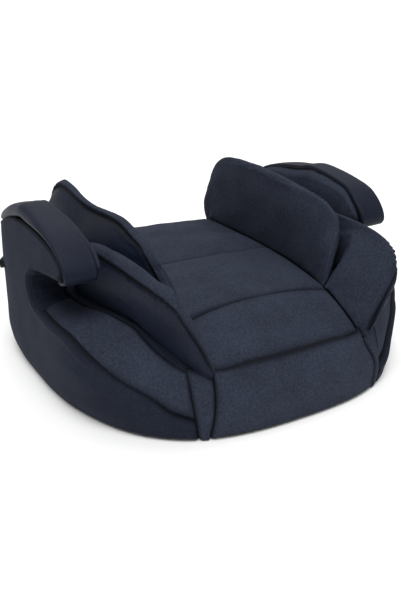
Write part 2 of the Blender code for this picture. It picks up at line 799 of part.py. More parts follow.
def build_rear_wing(label, side, materials):
    """The tall padded wing beside the hips, rounded on top, with a stiff board in a pocket open below."""
    front, rear = rear_wing_hinge()
    length = from_rear(REAR_WING_END) - from_front(REAR_WING_START)
    points = [(0.0, 46), (0.017, 28), (0.061, 16), (0.234, 7), (0.315, 4)]
    points += [(0.498, 0), (0.749, 0), (0.875, 8), (0.96, 50), (1.0, 78)]
    top_z = DECK_HEIGHT + REAR_WING_HEIGHT
    start = from_front(REAR_WING_START)
    crest = smooth_path([(start + share * length, top_z - drop) for share, drop in points], 3)
    top_x = HALF_WIDTH - CUSHION_INSET_MIDDLE + REAR_WING_TOP_RADIUS
    rings = []
    for y, z in crest:
        place = front.lerp(rear, (y - front.y) / (rear.y - front.y))
        base = (place.x, place.z)
        top = (top_x, z - REAR_WING_TOP_RADIUS)
        rings.append(capsule_ring(y, base, REAR_WING_BASE_RADIUS, top, REAR_WING_TOP_RADIUS))
    origin = front.lerp(rear, 0.5)
    wing = add_solid(f"rear_wing_{label}", loft(rings), materials["knit"], origin, side)
    middle_x = (origin.x + top_x) / 2
    slant = (rear.x - front.x) / (rear.y - front.y) / 2
    ends = (from_front(REAR_WING_START + 33), from_rear(REAR_WING_END + 40))
    low = DECK_HEIGHT + WING_GAP + 2
    high = DECK_HEIGHT + REAR_WING_HEIGHT * BOARD_SHARE
    thick = BOARD_THICK + 2 * BOARD_GAP
    room = board(ends, middle_x, slant, origin.y, (low - 10, high + BOARD_GAP), thick, BOARD_GAP)
    boolean(wing, add_cutter(f"board_room_{label}", room, side), "DIFFERENCE")
    stiffener = board(ends, middle_x, slant, origin.y, (low, high), BOARD_THICK, 0.0)
    add_solid(f"wing_board_{label}", stiffener, materials["board"], origin, side)


def board(ends, x, slant, middle, heights, thick, grow):
    """A flat upright board between two y values, slanted in plan about its middle."""
    rings = []
    for y in (ends[0] - grow, ends[1] + grow):
        centre = x + (y - middle) * slant
        corners = ((-1, 0), (1, 0), (1, 1), (-1, 1))
        rings.append([Vector((centre + thick / 2 * across, y, heights[up])) for across, up in corners])
    return loft(rings)


def front_wing_hinge():
    """A point of the front wing's hinge line, which runs along Y."""
    x = HALF_WIDTH - CUSHION_INSET_FRONT + 4 + FRONT_WING_OFFSET
    z = DECK_HEIGHT + WING_GAP + FRONT_WING_BASE_RADIUS
    return Vector((x, from_front(WING_STEP), z))


def build_front_wing(label, side, materials):
    """The padded bolster beside the thighs, from a point at the front corner to a thin tail by the arm."""
    hinge = front_wing_hinge()
    top_x = hinge.x + FRONT_WING_LEAN - 5
    tail_x = hinge.x + FRONT_WING_TAIL_OFFSET
    full = FRONT_WING_BASE_RADIUS
    crest = FRONT_WING_TOP - FRONT_WING_TOP_RADIUS
    tip_x = HALF_WIDTH - CUSHION_INSET_FRONT + 3
    stations = (
        (WING_TIP, tip_x, 3.0, 0.0, tip_x + 6, crest - 78, 3.0),
        (WING_TIP + 4, tip_x + 3, 5.0, 0.0, top_x - 17, crest - 28, 5.0),
        (WING_TIP + 12, tip_x + 6, 7.0, 0.0, top_x - 9, crest - 12, 6.0),
        (WING_TIP + 32, hinge.x - 4, full - 2, 0.0, top_x - 3, crest - 2, FRONT_WING_TOP_RADIUS),
        (WING_TIP + 52, hinge.x - 1, full, 0.0, top_x, crest, FRONT_WING_TOP_RADIUS),
        (WING_STEP - 4, hinge.x, full, 0.0, top_x + 1, crest, FRONT_WING_TOP_RADIUS),
        (WING_STEP + 9, tail_x - 3, full - 3, TAIL_LIFT, top_x + 2, crest, FRONT_WING_TOP_RADIUS),
        (FRONT_WING_END - 35, tail_x + 3, full - 4, TAIL_LIFT, top_x + 3, crest - 1, FRONT_WING_TOP_RADIUS),
        (FRONT_WING_END - 10, tail_x + 7, full - 5, TAIL_LIFT, top_x + 4, crest - 8, FRONT_WING_TOP_RADIUS),
        (FRONT_WING_END, tail_x + 9, 5.0, TAIL_LIFT, top_x + 3, crest - 22, 5.0),
    )
    rings = []
    for distance, x, radius, lift, upper_x, upper_z, upper_radius in stations:
        y = from_front(distance)
        base = (x, deck_height(y) + WING_GAP + radius + lift)
        rings.append(capsule_ring(y, base, radius, (upper_x, upper_z), upper_radius))
    add_solid(f"front_wing_{label}", loft(rings), materials["knit"], hinge, side)


def main():
    """Clears the scene and builds every piece."""
    for old in list(bpy.data.objects):
        bpy.data.objects.remove(old)
    materials = {
        "tray": make_material("black_polypropylene", (0.012, 0.012, 0.014), 0.5),
        "rubber": make_material("foot_rubber", (0.02, 0.02, 0.02), 0.8),
        "steel": make_material("zinc_plated_steel", (0.55, 0.56, 0.58), 0.35, 1.0),
        "foam": make_material("seat_foam_grey", (0.35, 0.36, 0.38), 0.95),
        "board": make_material("wing_board_foam", (0.12, 0.12, 0.13), 0.9),
        "elastic": make_material("hem_elastic", (0.012, 0.013, 0.018), 0.9),
        "knit": make_material("charcoal_knit", (0.021, 0.023, 0.032), 0.85),
        "knit_side": make_material("navy_knit", (0.014, 0.017, 0.028), 0.85),
        "satin": make_material("satin_knit", (0.02, 0.023, 0.034), 0.6),
    }
    make_material("guide", (0.5, 0.5, 0.5), 0.5)
    build_tray(materials)
    build_feet(materials)
    build_screws(materials)
    build_hem(materials)
    build_cushion(materials)
    build_walls(materials)
    for label, side in SIDES:
        build_channel(label, side, materials)
        build_arm(label, side, materials)
        build_insert(label, side, materials)
        build_rear_wing(label, side, materials)
        build_front_wing(label, side, materials)


main()
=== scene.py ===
"""Looks of a backless booster seat: its sewn cover, padded wings, arms and base.

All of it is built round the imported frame. Sizes are in millimetres until a mesh is made, which is in metres.
The seat faces -y, z is up and +x is the seated child's left. Pieces that come in pairs are worked out for the
+x half and mirrored for the other.
"""

import json
import logging
import math
from dataclasses import dataclass, field, replace
from enum import Enum

import bmesh
import bpy
import numpy as np
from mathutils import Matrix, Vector

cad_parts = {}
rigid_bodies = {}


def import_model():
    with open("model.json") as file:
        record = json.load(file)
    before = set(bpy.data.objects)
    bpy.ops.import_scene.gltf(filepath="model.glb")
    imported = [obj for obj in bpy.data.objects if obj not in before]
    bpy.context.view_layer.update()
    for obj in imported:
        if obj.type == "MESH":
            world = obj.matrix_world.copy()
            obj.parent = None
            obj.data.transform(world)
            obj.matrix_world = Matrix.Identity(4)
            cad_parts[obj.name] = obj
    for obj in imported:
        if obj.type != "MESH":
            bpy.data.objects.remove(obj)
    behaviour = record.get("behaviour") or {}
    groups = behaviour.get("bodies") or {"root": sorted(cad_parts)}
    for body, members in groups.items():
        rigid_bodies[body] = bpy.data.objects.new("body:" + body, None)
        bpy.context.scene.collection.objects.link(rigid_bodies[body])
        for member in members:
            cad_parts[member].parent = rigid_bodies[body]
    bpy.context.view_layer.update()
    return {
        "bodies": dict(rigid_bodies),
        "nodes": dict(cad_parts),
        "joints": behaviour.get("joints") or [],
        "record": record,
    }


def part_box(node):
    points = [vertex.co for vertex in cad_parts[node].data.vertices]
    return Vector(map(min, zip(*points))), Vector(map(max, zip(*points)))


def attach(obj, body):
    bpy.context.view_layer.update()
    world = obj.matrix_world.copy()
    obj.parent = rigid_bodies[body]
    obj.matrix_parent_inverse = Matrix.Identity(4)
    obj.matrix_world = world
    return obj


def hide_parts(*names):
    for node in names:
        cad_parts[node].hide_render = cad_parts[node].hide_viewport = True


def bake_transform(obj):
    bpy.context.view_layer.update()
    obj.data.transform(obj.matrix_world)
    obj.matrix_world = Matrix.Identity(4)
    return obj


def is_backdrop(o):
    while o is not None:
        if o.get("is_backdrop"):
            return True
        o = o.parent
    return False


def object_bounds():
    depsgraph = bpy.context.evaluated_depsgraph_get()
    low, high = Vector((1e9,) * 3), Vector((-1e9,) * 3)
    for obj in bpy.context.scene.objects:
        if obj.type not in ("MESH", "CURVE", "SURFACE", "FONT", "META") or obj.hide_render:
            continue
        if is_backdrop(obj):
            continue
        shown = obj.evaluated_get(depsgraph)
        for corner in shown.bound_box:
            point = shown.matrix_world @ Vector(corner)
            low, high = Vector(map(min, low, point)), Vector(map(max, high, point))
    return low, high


LOG = logging.getLogger("booster_seat")
MM = 0.001
WEAVE = "weave"
FOLD = "fold_shade"
STEP = 2.6
COARSE = 3.0
FOLD_WIDTH = 2.6
SOFT_FOLD_WIDTH = 5.0
FOLD_FALL = 1.3
WING_FOLD_WIDTH = 2.2
Array = np.ndarray


class Side(Enum):
    """The two mirrored halves of the seat, named as they are seen from in front."""

    RIGHT = 1
    LEFT = -1

    @property
    def label(self) -> str:
        """The half's name as the frame's nodes write it."""
        return self.name.lower()


class Seam(Enum):
    """How a panel's edge is sewn.

    The values are the width that turns in, how deep it goes, and the height of the ridge beside the stitches.
    """

    FREE = (1.0, 0.0, 0.0)
    CRISP = (5.0, 3.4, 0.6)
    SOFT = (28.0, 9.0, 0.0)
    CURLED = (9.0, 5.0, 1.6)
    TUCKED = (13.0, 8.0, 0.0)
    ROUNDED = (8.0, 4.0, 0.0)
    STITCHED = (9.0, 5.5, 0.4)
    PLUMP = (22.0, 7.0, 0.0)


class Cloth(Enum):
    """The fabrics and other finishes, by the name of their slot in the record."""

    CHARCOAL = "charcoal_knit"
    NAVY = "navy_knit"
    SATIN = "satin_knit"
    FOAM = "seat_foam_grey"
    ELASTIC = "hem_elastic"
    PLASTIC = "black_polypropylene"
    RUBBER = "foot_rubber"
    STEEL = "zinc_plated_steel"
    BOARD = "wing_board_foam"


# --- Finishes ---------------------------------------------------------------------------------------------


def linear(hex_colour: str) -> tuple[float, float, float, float]:
    """Turns an sRGB hex colour to linear RGBA.

    Args:
        hex_colour: Six hex digits after a #.

    Returns:
        Linear red, green and blue, and an alpha of 1.
    """
    values = [int(hex_colour[i : i + 2], 16) / 255 for i in (1, 3, 5)]
    red, green, blue = (v / 12.92 if v <= 0.04045 else ((v + 0.055) / 1.055) ** 2.4 for v in values)
    return (red, green, blue, 1.0)


def add_node(
    tree: bpy.types.NodeTree, kind: str, settings: dict | None = None, links: dict | None = None
) -> bpy.types.Node:
    """Adds a shader node with its settings and links.

    Args:
        tree: The material's node tree.
        kind: The node's type.
        settings: Values by input name or number, or by the name of one of the node's own properties.
        links: Output sockets by the input name or number that they go into.

    Returns:
        The new node.
    """
    node = tree.nodes.new(kind)
    for key, value in (settings or {}).items():
        if isinstance(key, int) or key in node.inputs:
            node.inputs[key].default_value = value
        else:
            setattr(node, key, value)
    for key, socket in (links or {}).items():
        tree.links.new(socket, node.inputs[key])
    return node


def principled(name: str) -> tuple[bpy.types.Material, bpy.types.NodeTree, bpy.types.Node]:
    """Makes a material with its Principled shader.

    Args:
        name: The material's name.

    Returns:
        The material, its node tree and its shader.
    """
    material = bpy.data.materials.new(name)
    material.use_nodes = True
    tree = material.node_tree
    return material, tree, tree.nodes["Principled BSDF"]


@dataclass(frozen=True)
class StretchKnit:
    """Polyester warp knit over wadding: matt, with a short nap that lightens it at grazing angles.

    The real loops are about 0.6 mm wide, too fine to show, so they are drawn at 1.5 mm.
    """

    name: str
    colour: str
    nap: str
    roughness: float = 0.85
    sheen: float = 0.03
    sheen_roughness: float = 0.35
    loop: float = 1.5
    course: float = 1.2
    relief: float = 0.6
    ior: float = 1.5
    specular: float = 0.12
    fold_dark: float = 0.12
    course_slant: float = 1.3
    nap_scale: float = 420.0
    cloud_scale: float = 28.0
    stitch_share: float = 0.16
    cloud_share: float = 0.55
    bump_height: float = 0.6

    def make(self) -> bpy.types.Material:
        """Builds the material.

        Returns:
            The new material.
        """
        material, tree, shader = principled(self.name)
        uv = add_node(tree, "ShaderNodeUVMap", {"uv_map": WEAVE})
        split = add_node(tree, "ShaderNodeSeparateXYZ", links={0: uv.outputs[0]})
        per_wale = {"operation": "MULTIPLY", 1: 1 / (self.loop * MM)}
        per_row = {"operation": "MULTIPLY", 1: 1 / (self.course * MM)}
        wale = add_node(tree, "ShaderNodeMath", per_wale, {0: split.outputs[0]})
        row = add_node(tree, "ShaderNodeMath", per_row, {0: split.outputs[1]})
        slant = add_node(tree, "ShaderNodeMath", {"operation": "PINGPONG", 1: 0.5}, {0: wale.outputs[0]})
        rise = add_node(
            tree,
            "ShaderNodeMath",
            {"operation": "MULTIPLY_ADD", 1: self.course_slant},
            {0: slant.outputs[0], 2: row.outputs[0]},
        )
        turn = add_node(tree, "ShaderNodeMath", {"operation": "MULTIPLY", 1: math.tau}, {0: rise.outputs[0]})
        stitch = add_node(tree, "ShaderNodeMath", {"operation": "SINE"}, {0: turn.outputs[0]})
        place = add_node(tree, "ShaderNodeTexCoord")
        spot = {"Vector": place.outputs["Object"]}
        nap = add_node(tree, "ShaderNodeTexNoise", {"Scale": self.nap_scale, "Detail": 2.0}, spot)
        cloud = add_node(tree, "ShaderNodeTexNoise", {"Scale": self.cloud_scale, "Detail": 4.0}, spot)
        grain = add_node(
            tree,
            "ShaderNodeMath",
            {"operation": "MULTIPLY_ADD", 1: self.stitch_share},
            {0: stitch.outputs[0], 2: nap.outputs[0]},
        )
        mottle = add_node(
            tree,
            "ShaderNodeMath",
            {"operation": "MULTIPLY_ADD", 1: self.cloud_share},
            {0: cloud.outputs[0], 2: grain.outputs[0]},
        )
        mix = add_node(
            tree,
            "ShaderNodeMapRange",
            {"From Min": 0.35, "From Max": 1.3, "To Min": 0.0, "To Max": 1.0},
            {"Value": mottle.outputs[0]},
        )
        tone = add_node(
            tree,
            "ShaderNodeMix",
            {"data_type": "RGBA", 6: linear(self.colour), 7: linear(self.nap)},
            {0: mix.outputs[0]},
        )
        # Painted shade: where the fold_shade attribute is high, at seams and welts, the colour is mixed toward
        # near-black to stand in for the shadow in the fold.
        fold = add_node(tree, "ShaderNodeAttribute", {"attribute_name": FOLD})
        depth = add_node(
            tree,
            "ShaderNodeMath",
            {"operation": "MULTIPLY", 1: 1 - self.fold_dark, "use_clamp": True},
            {0: fold.outputs["Fac"]},
        )
        shade = add_node(
            tree,
            "ShaderNodeMix",
            {"data_type": "RGBA", 7: linear("#07090e")},
            {0: depth.outputs[0], 6: tone.outputs[2]},
        )
        tree.links.new(shade.outputs[2], shader.inputs["Base Color"])
        bump = add_node(
            tree,
            "ShaderNodeBump",
            {"Strength": self.relief, "Distance": self.bump_height * MM},
            {"Height": grain.outputs[0]},
        )
        tree.links.new(bump.outputs[0], shader.inputs["Normal"])
        shader.inputs["Roughness"].default_value = self.roughness
        shader.inputs["IOR"].default_value = self.ior
        shader.inputs["Specular IOR Level"].default_value = self.specular
        shader.inputs["Sheen Weight"].default_value = self.sheen
        shader.inputs["Sheen Roughness"].default_value = self.sheen_roughness
        shader.inputs["Sheen Tint"].default_value = linear("#b9c2dc")
        return material


@dataclass(frozen=True)
class MouldedPolymer:
    """A moulded or foamed polymer, whose noise relief is its tool texture, bloom or open cells."""

    name: str
    colour: str
    light: str
    roughness: float
    ior: float
    grain: float
    relief: float
    cells: bool = False

    def make(self) -> bpy.types.Material:
        """Builds the material.

        Returns:
            The new material.
        """
        material, tree, shader = principled(self.name)
        place = add_node(tree, "ShaderNodeTexCoord")
        kind = "ShaderNodeTexVoronoi" if self.cells else "ShaderNodeTexNoise"
        spot = {"Vector": place.outputs["Object"]}
        fine = add_node(tree, kind, {"Scale": 1 / (self.grain * MM)}, spot)
        broad = add_node(tree, "ShaderNodeTexNoise", {"Scale": 22.0, "Detail": 5.0}, spot)
        both = add_node(
            tree, "ShaderNodeMath", {"operation": "MULTIPLY"}, {0: fine.outputs[0], 1: broad.outputs[0]}
        )
        tone = add_node(
            tree,
            "ShaderNodeMix",
            {"data_type": "RGBA", 6: linear(self.colour), 7: linear(self.light)},
            {0: both.outputs[0]},
        )
        bump = add_node(
            tree, "ShaderNodeBump", {"Strength": self.relief, "Distance": 0.0004}, {"Height": fine.outputs[0]}
        )
        tree.links.new(tone.outputs[2], shader.inputs["Base Color"])
        tree.links.new(bump.outputs[0], shader.inputs["Normal"])
        shader.inputs["Roughness"].default_value = self.roughness
        shader.inputs["IOR"].default_value = self.ior
        return material


@dataclass(frozen=True)
class ZincPlate:
    """Bright zinc plating on cold-headed steel: a grey metal, rougher where the plating pooled."""

    name: str
    colour: str = "#b4b9c0"
    smoothest: float = 0.25
    roughest: float = 0.45

    def make(self) -> bpy.types.Material:
        """Builds the material.

        Returns:
            The new material.
        """
        material, tree, shader = principled(self.name)
        place = add_node(tree, "ShaderNodeTexCoord")
        spot = {"Vector": place.outputs["Object"]}
        pool = add_node(tree, "ShaderNodeTexNoise", {"Scale": 400.0, "Detail": 4.0}, spot)
        span = {"To Min": self.smoothest, "To Max": self.roughest}
        rough = add_node(tree, "ShaderNodeMapRange", span, {"Value": pool.outputs[0]})
        tree.links.new(rough.outputs[0], shader.inputs["Roughness"])
        shader.inputs["Base Color"].default_value = linear(self.colour)
        shader.inputs["Metallic"].default_value = 1.0
        return material


@dataclass(frozen=True)
class RibbedElastic:
    """Woven rubber-cored tape: fine ribs across its width, drawn at 2 mm, with a dull face."""

    name: str
    colour: str = "#1c1f29"
    rib: float = 2.0

    def make(self) -> bpy.types.Material:
        """Builds the material.

        Returns:
            The new material.
        """
        material, tree, shader = principled(self.name)
        uv = add_node(tree, "ShaderNodeUVMap", {"uv_map": WEAVE})
        bands = add_node(
            tree, "ShaderNodeTexWave", {"Scale": 0.31 / (self.rib * MM)}, {"Vector": uv.outputs[0]}
        )
        tone = add_node(
            tree,
            "ShaderNodeMix",
            {"data_type": "RGBA", 6: linear("#12141b"), 7: linear(self.colour)},
            {0: bands.outputs["Fac"]},
        )
        bump = add_node(
            tree, "ShaderNodeBump", {"Strength": 0.5, "Distance": 0.0005}, {"Height": bands.outputs["Fac"]}
        )
        tree.links.new(tone.outputs[2], shader.inputs["Base Color"])
        tree.links.new(bump.outputs[0], shader.inputs["Normal"])
        shader.inputs["Roughness"].default_value = 0.9
        return material


def make_finishes() -> dict[Cloth, bpy.types.Material]:
    """Makes every finish of the seat.

    Returns:
        The materials by their place in the record.
    """
    makers = {
        Cloth.CHARCOAL: StretchKnit("charcoal_stretch_knit", "#1a1e29", "#393f4f"),
        Cloth.NAVY: StretchKnit("navy_stretch_knit", "#10141f", "#262c3b"),
        Cloth.SATIN: StretchKnit(
            "navy_satin_knit", "#0b0f1b", "#1a2133", roughness=0.5, specular=0.14, relief=0.3, loop=1.2
        ),
        Cloth.FOAM: MouldedPolymer(
            "open_cell_polyurethane_foam", "#8d8f92", "#a9abae", 0.95, 1.45, 1.4, 0.6, True
        ),
        Cloth.ELASTIC: RibbedElastic("woven_elastic_tape"),
        Cloth.PLASTIC: MouldedPolymer(
            "moulded_black_polypropylene", "#16171a", "#222327", 0.5, 1.49, 0.9, 0.15
        ),
        Cloth.RUBBER: MouldedPolymer("moulded_black_rubber", "#19191a", "#232324", 0.8, 1.52, 0.7, 0.1),
        Cloth.STEEL: ZincPlate("zinc_plated_steel"),
        Cloth.BOARD: MouldedPolymer(
            "closed_cell_polyethylene_foam", "#26272a", "#323337", 0.85, 1.5, 1.0, 0.3, True
        ),
    }
    return {cloth: maker.make() for cloth, maker in makers.items()}


# --- Curves and grids -------------------------------------------------------------------------------------


def smooth(points: list | Array, steps: int = 8) -> Array:
    """Runs a Catmull-Rom curve through points.

    Args:
        points: The points, one to a row.
        steps: How many steps there are between two points.

    Returns:
        The curve's points.
    """
    knots = np.asarray(points, float)
    ends = np.vstack([knots[:1], knots, knots[-1:]])
    t = (np.arange(steps) / steps)[:, None]
    runs = []
    for a, b, c, d in zip(ends, ends[1:], ends[2:], ends[3:]):
        square, cube = 2 * a - 5 * b + 4 * c - d, 3 * b - a - 3 * c + d
        runs.append(0.5 * (2 * b + (c - a) * t + square * t**2 + cube * t**3))
    return np.vstack(runs + [knots[-1:]])


def travelled(path: Array) -> Array:
    """The distance along a path at each of its points."""
    return np.concatenate([[0.0], np.cumsum(np.linalg.norm(np.diff(path, axis=0), axis=1))])


def resample(path: Array, shares: Array) -> Array:
    """Reads a path at shares of its length.

    Args:
        path: The points, one to a row.
        shares: Values from 0 to 1.

    Returns:
        One point for each share.
    """
    at = travelled(path)
    return np.stack([np.interp(shares * at[-1], at, column) for column in path.T], axis=1)


def spaced(length: float, step: float = STEP, edge: float = 10.0, fine: float = 0.9) -> Array:
    """Shares of a length, closer together near both ends, where seams turn in.

    Args:
        length: The whole length.
        step: The spacing in the middle.
        edge: How far from each end the spacing is fine.
        fine: The spacing near the ends.

    Returns:
        Rising values from 0 to 1.
    """
    edge = min(edge, length * 0.3)
    near = np.arange(0.0, edge, fine)
    middle = np.linspace(edge, length - edge, max(int((length - 2 * edge) / step), 3))
    return np.concatenate([near, middle, (length - near)[::-1]]) / length


def ruled(first: Array, last: Array, shares: Array) -> Array:
    """A grid of straight lines from one path to another.

    Args:
        first: The points where the lines start.
        last: As many points where they end.
        shares: Where along the lines the columns are.

    Returns:
        The grid, a row for each pair of points.
    """
    return first[:, None, :] + (last - first)[:, None, :] * shares[None, :, None]


def facing(grid: Array, towards: tuple[float, float, float]) -> Array:
    """Unit normals of a grid, on the side that faces a direction.

    Args:
        grid: The surface's points.
        towards: Any direction on the side wanted.

    Returns:
        A normal for each point.
    """
    cross = np.cross(np.gradient(grid, axis=0), np.gradient(grid, axis=1))
    cross /= np.linalg.norm(cross, axis=2, keepdims=True).clip(1e-9)
    return cross if (cross @ np.asarray(towards, float)).mean() > 0 else -cross


def turn_in(distance: Array, seam: Seam) -> tuple[Array, Array]:
    """How far a surface drops toward a seam.

    Args:
        distance: The distance of each point from the seam.
        seam: How the edge is sewn.

    Returns:
        The drop, less than 0 on the ridge, and a fold shade from 0 to 1.
    """
    width, depth, ridge = seam.value
    share = np.clip(1 - distance / width, 0.0, 1.0)
    drop = depth * (1 - np.sqrt(1 - share**2))
    drop -= ridge * np.exp(-(((distance - width * 0.75) / (width * 0.45)) ** 2))
    wide = SOFT_FOLD_WIDTH if seam in (Seam.SOFT, Seam.STITCHED) else FOLD_WIDTH
    return drop, np.exp(-((distance.clip(0) / wide) ** FOLD_FALL)) * (depth > 0)


def waves(points: Array, length: float, seed: int, count: int = 7) -> Array:
    """Soft irregular undulation over points, from a seeded sum of sine waves.

    Args:
        points: Any array whose last axis is x, y, z.
        length: The typical wavelength.
        seed: What the waves are drawn from.
        count: How many waves there are.

    Returns:
        A value from about -1 to 1 for each point.
    """
    draw = np.random.default_rng(seed)
    total = np.zeros(points.shape[:-1])
    for _ in range(count):
        way = draw.normal(size=3)
        way *= math.tau / (length * draw.uniform(0.7, 1.6)) / np.linalg.norm(way)
        total += np.sin(points @ way + draw.uniform(0, math.tau))
    return total / math.sqrt(count) / 1.4


def bell(value: Array, middle: float, width: float) -> Array:
    """A bell curve of height 1."""
    return np.exp(-(((value - middle) / width) ** 2))


def ease(value: Array | float, low: float, high: float) -> Array:
    """A smooth step from 0 at low to 1 at high."""
    share = np.clip((np.asarray(value, float) - low) / (high - low), 0.0, 1.0)
    return share * share * (3 - 2 * share)


# --- Meshes -----------------------------------------------------------------------------------------------


@dataclass
class Workshop:
    """Turns grids of points into closed pieces and dresses them."""

    finishes: dict[Cloth, bpy.types.Material]
    frames: int = 20
    cloth_mass: float = 0.3
    tension: float = 12.0
    compression: float = 6.0
    bending: float = 0.4
    ripple_length: float = 42.0
    calm_width: float = 12.0
    edge_thick: float = 1.6
    back_gap: float = 0.6
    swell_power: float = 0.6

    def piece(
        self,
        name: str,
        points: Array,
        faces: list,
        weave: Array,
        fold: Array,
        cloth: Cloth,
        side: Side = Side.RIGHT,
    ) -> bpy.types.Object:
        """Makes a closed mesh piece.

        Args:
            name: The piece's name.
            points: Vertices in millimetres.
            faces: Vertex numbers of each face.
            weave: Two pattern coordinates in millimetres for each vertex.
            fold: The fold shade of each vertex.
            cloth: Its finish.
            side: The half it belongs to; the left one is mirrored.

        Returns:
            The new object.
        """
        placed = points * MM * np.array([side.value, 1, 1])
        mesh = bpy.data.meshes.new(name)
        mesh.from_pydata(placed.tolist(), [], faces)
        build = bmesh.new()
        build.from_mesh(mesh)
        bmesh.ops.recalc_face_normals(build, faces=build.faces)
        build.to_mesh(mesh)
        build.free()
        layer = mesh.uv_layers.new(name=WEAVE)
        corners = np.zeros(len(mesh.loops), int)
        mesh.loops.foreach_get("vertex_index", corners)
        layer.data.foreach_set("uv", (weave * MM)[corners].astype(np.float32).ravel())
        shade = mesh.attributes.new(FOLD, "FLOAT", "POINT")
        shade.data.foreach_set("value", fold.astype(np.float32))
        mesh.materials.append(self.finishes[cloth])
        mesh.shade_smooth()
        made = bpy.data.objects.new(name, mesh)
        bpy.context.scene.collection.objects.link(made)
        return made

    def panel(
        self,
        name: str,
        grid: Array,
        towards: tuple[float, float, float],
        seams: tuple[Seam, Seam, Seam, Seam],
        cloth: Cloth,
        side: Side = Side.RIGHT,
        puff: float = 0.0,
        thick: float = 7.0,
        ripple: float = 0.35,
        seed: int = 1,
        relief: Array | None = None,
    ) -> bpy.types.Object:
        """Makes a padded cover panel whose edges turn in at their seams.

        Args:
            name: The piece's name.
            grid: Its outer face before it is puffed.
            towards: A direction on its outer side.
            seams: How the first row, last row, first column and last column are sewn.
            cloth: Its fabric.
            side: The half it belongs to.
            puff: How far its middle swells.
            thick: Its thickness.
            ripple: The height of its soft unevenness.
            seed: What the unevenness is drawn from.
            relief: Further height at each point.

        Returns:
            The new object.
        """
        normal = facing(grid, towards)
        down = np.linalg.norm(np.diff(grid, axis=0), axis=2)
        across = np.linalg.norm(np.diff(grid, axis=1), axis=2)
        rows = np.concatenate([np.zeros((1, grid.shape[1])), np.cumsum(down, axis=0)])
        columns = np.concatenate([np.zeros((grid.shape[0], 1)), np.cumsum(across, axis=1)], axis=1)
        gaps = (rows, rows[-1:] - rows, columns, columns[:, -1:] - columns)
        drop, fold = np.zeros(rows.shape), np.zeros(rows.shape)
        for gap, seam in zip(gaps, seams):
            amount, shade = turn_in(gap, seam)
            drop = np.where(np.abs(amount) > np.abs(drop), amount, drop)
            fold = np.maximum(fold, shade)
        u = rows / rows[-1:].clip(1e-6)
        v = columns / columns[:, -1:].clip(1e-6)
        power = self.swell_power
        swell = (4 * u * (1 - u)).clip(0) ** power * (4 * v * (1 - v)).clip(0) ** power
        calm = np.clip(np.minimum.reduce(gaps) / self.calm_width, 0.0, 1.0)
        height = puff * swell - drop + ripple * waves(grid, self.ripple_length, seed) * calm
        if relief is not None:
            height = height + relief
        outer = grid + normal * height[..., None]
        under = np.maximum(thick * calm, drop + self.edge_thick) + self.back_gap
        inner = grid - normal * under[..., None]
        return self.slab(name, outer, inner, np.stack([columns, rows], axis=2), fold, cloth, side)

    def slab(
        self, name: str, outer: Array, inner: Array, weave: Array, fold: Array, cloth: Cloth, side: Side
    ) -> bpy.types.Object:
        """Makes a closed slab between two equal grids.

        Args:
            name: The piece's name.
            outer: The outer grid.
            inner: The inner grid.
            weave: Pattern coordinates of the outer grid.
            fold: Fold shade of the outer grid.
            cloth: Its finish.
            side: The half it belongs to.

        Returns:
            The new object.
        """
        n, m = outer.shape[:2]
        number = np.arange(n * m).reshape(n, m)
        corners = [number[:-1, :-1], number[1:, :-1], number[1:, 1:], number[:-1, 1:]]
        quads = np.stack(corners, axis=2).reshape(-1, 4)
        rim = np.concatenate([number[:, 0], number[-1, 1:], number[-2::-1, -1], number[0, -2:0:-1]])
        after = np.roll(rim, -1)
        sides = np.stack([rim, after, after + n * m, rim + n * m], axis=1)
        faces = np.concatenate([quads, quads[:, ::-1] + n * m, sides]).tolist()
        points = np.concatenate([outer.reshape(-1, 3), inner.reshape(-1, 3)])
        pattern = np.concatenate([weave.reshape(-1, 2)] * 2)
        shades = np.concatenate([fold.ravel(), np.ones(n * m)])
        return self.piece(name, points, faces, pattern, shades, cloth, side)

    def tube(
        self,
        name: str,
        rings: Array,
        fold: Array,
        cloth: Cloth,
        side: Side = Side.RIGHT,
        joined: bool = False,
        outer: tuple[Cloth, int] | None = None,
    ) -> bpy.types.Object:
        """Makes a closed piece from rings, capped at its ends or joined end to end.

        Args:
            name: The piece's name.
            rings: Rings of equally many points.
            fold: The fold shade of each point.
            cloth: Its finish.
            side: The half it belongs to.
            joined: Whether the last ring joins the first.
            outer: A second finish, and the point of each ring that it starts at.

        Returns:
            The new object.
        """
        n, m = rings.shape[:2]
        number = np.arange(n * m).reshape(n, m)
        above = np.roll(number, -1, axis=0) if joined else number[1:]
        low = number if joined else number[:-1]
        turned = np.roll(low, -1, axis=1)
        corners = [low, turned, np.roll(above, -1, axis=1), above]
        quads = np.stack(corners, axis=2).reshape(-1, 4).tolist()
        points = rings.reshape(-1, 3)
        shades = fold.ravel()
        edges = np.linalg.norm(np.diff(rings, axis=1), axis=2)
        round_it = np.concatenate([np.zeros((n, 1)), np.cumsum(edges, axis=1)], axis=1)
        along = np.repeat(travelled(rings.mean(axis=1))[:, None], m, axis=1)
        pattern = np.stack([along, round_it], axis=2).reshape(-1, 2)
        if not joined:
            for ring, row in ((rings[0], number[0]), (rings[-1], number[-1])):
                middle = len(points)
                points = np.vstack([points, ring.mean(axis=0)])
                shades = np.append(shades, 0.0)
                pattern = np.vstack([pattern, pattern[row].mean(axis=0)])
                quads += [[int(a), int(b), middle] for a, b in zip(row, np.roll(row, -1))]
        made = self.piece(name, points, quads, pattern, shades, cloth, side)
        if outer:
            made.data.materials.append(self.finishes[outer[0]])
            which = np.zeros(len(made.data.polygons), np.int32)
            which[: (n - 1) * m] = np.tile(np.arange(m) >= outer[1], n - 1)
            made.data.polygons.foreach_set("material_index", which)
        return made

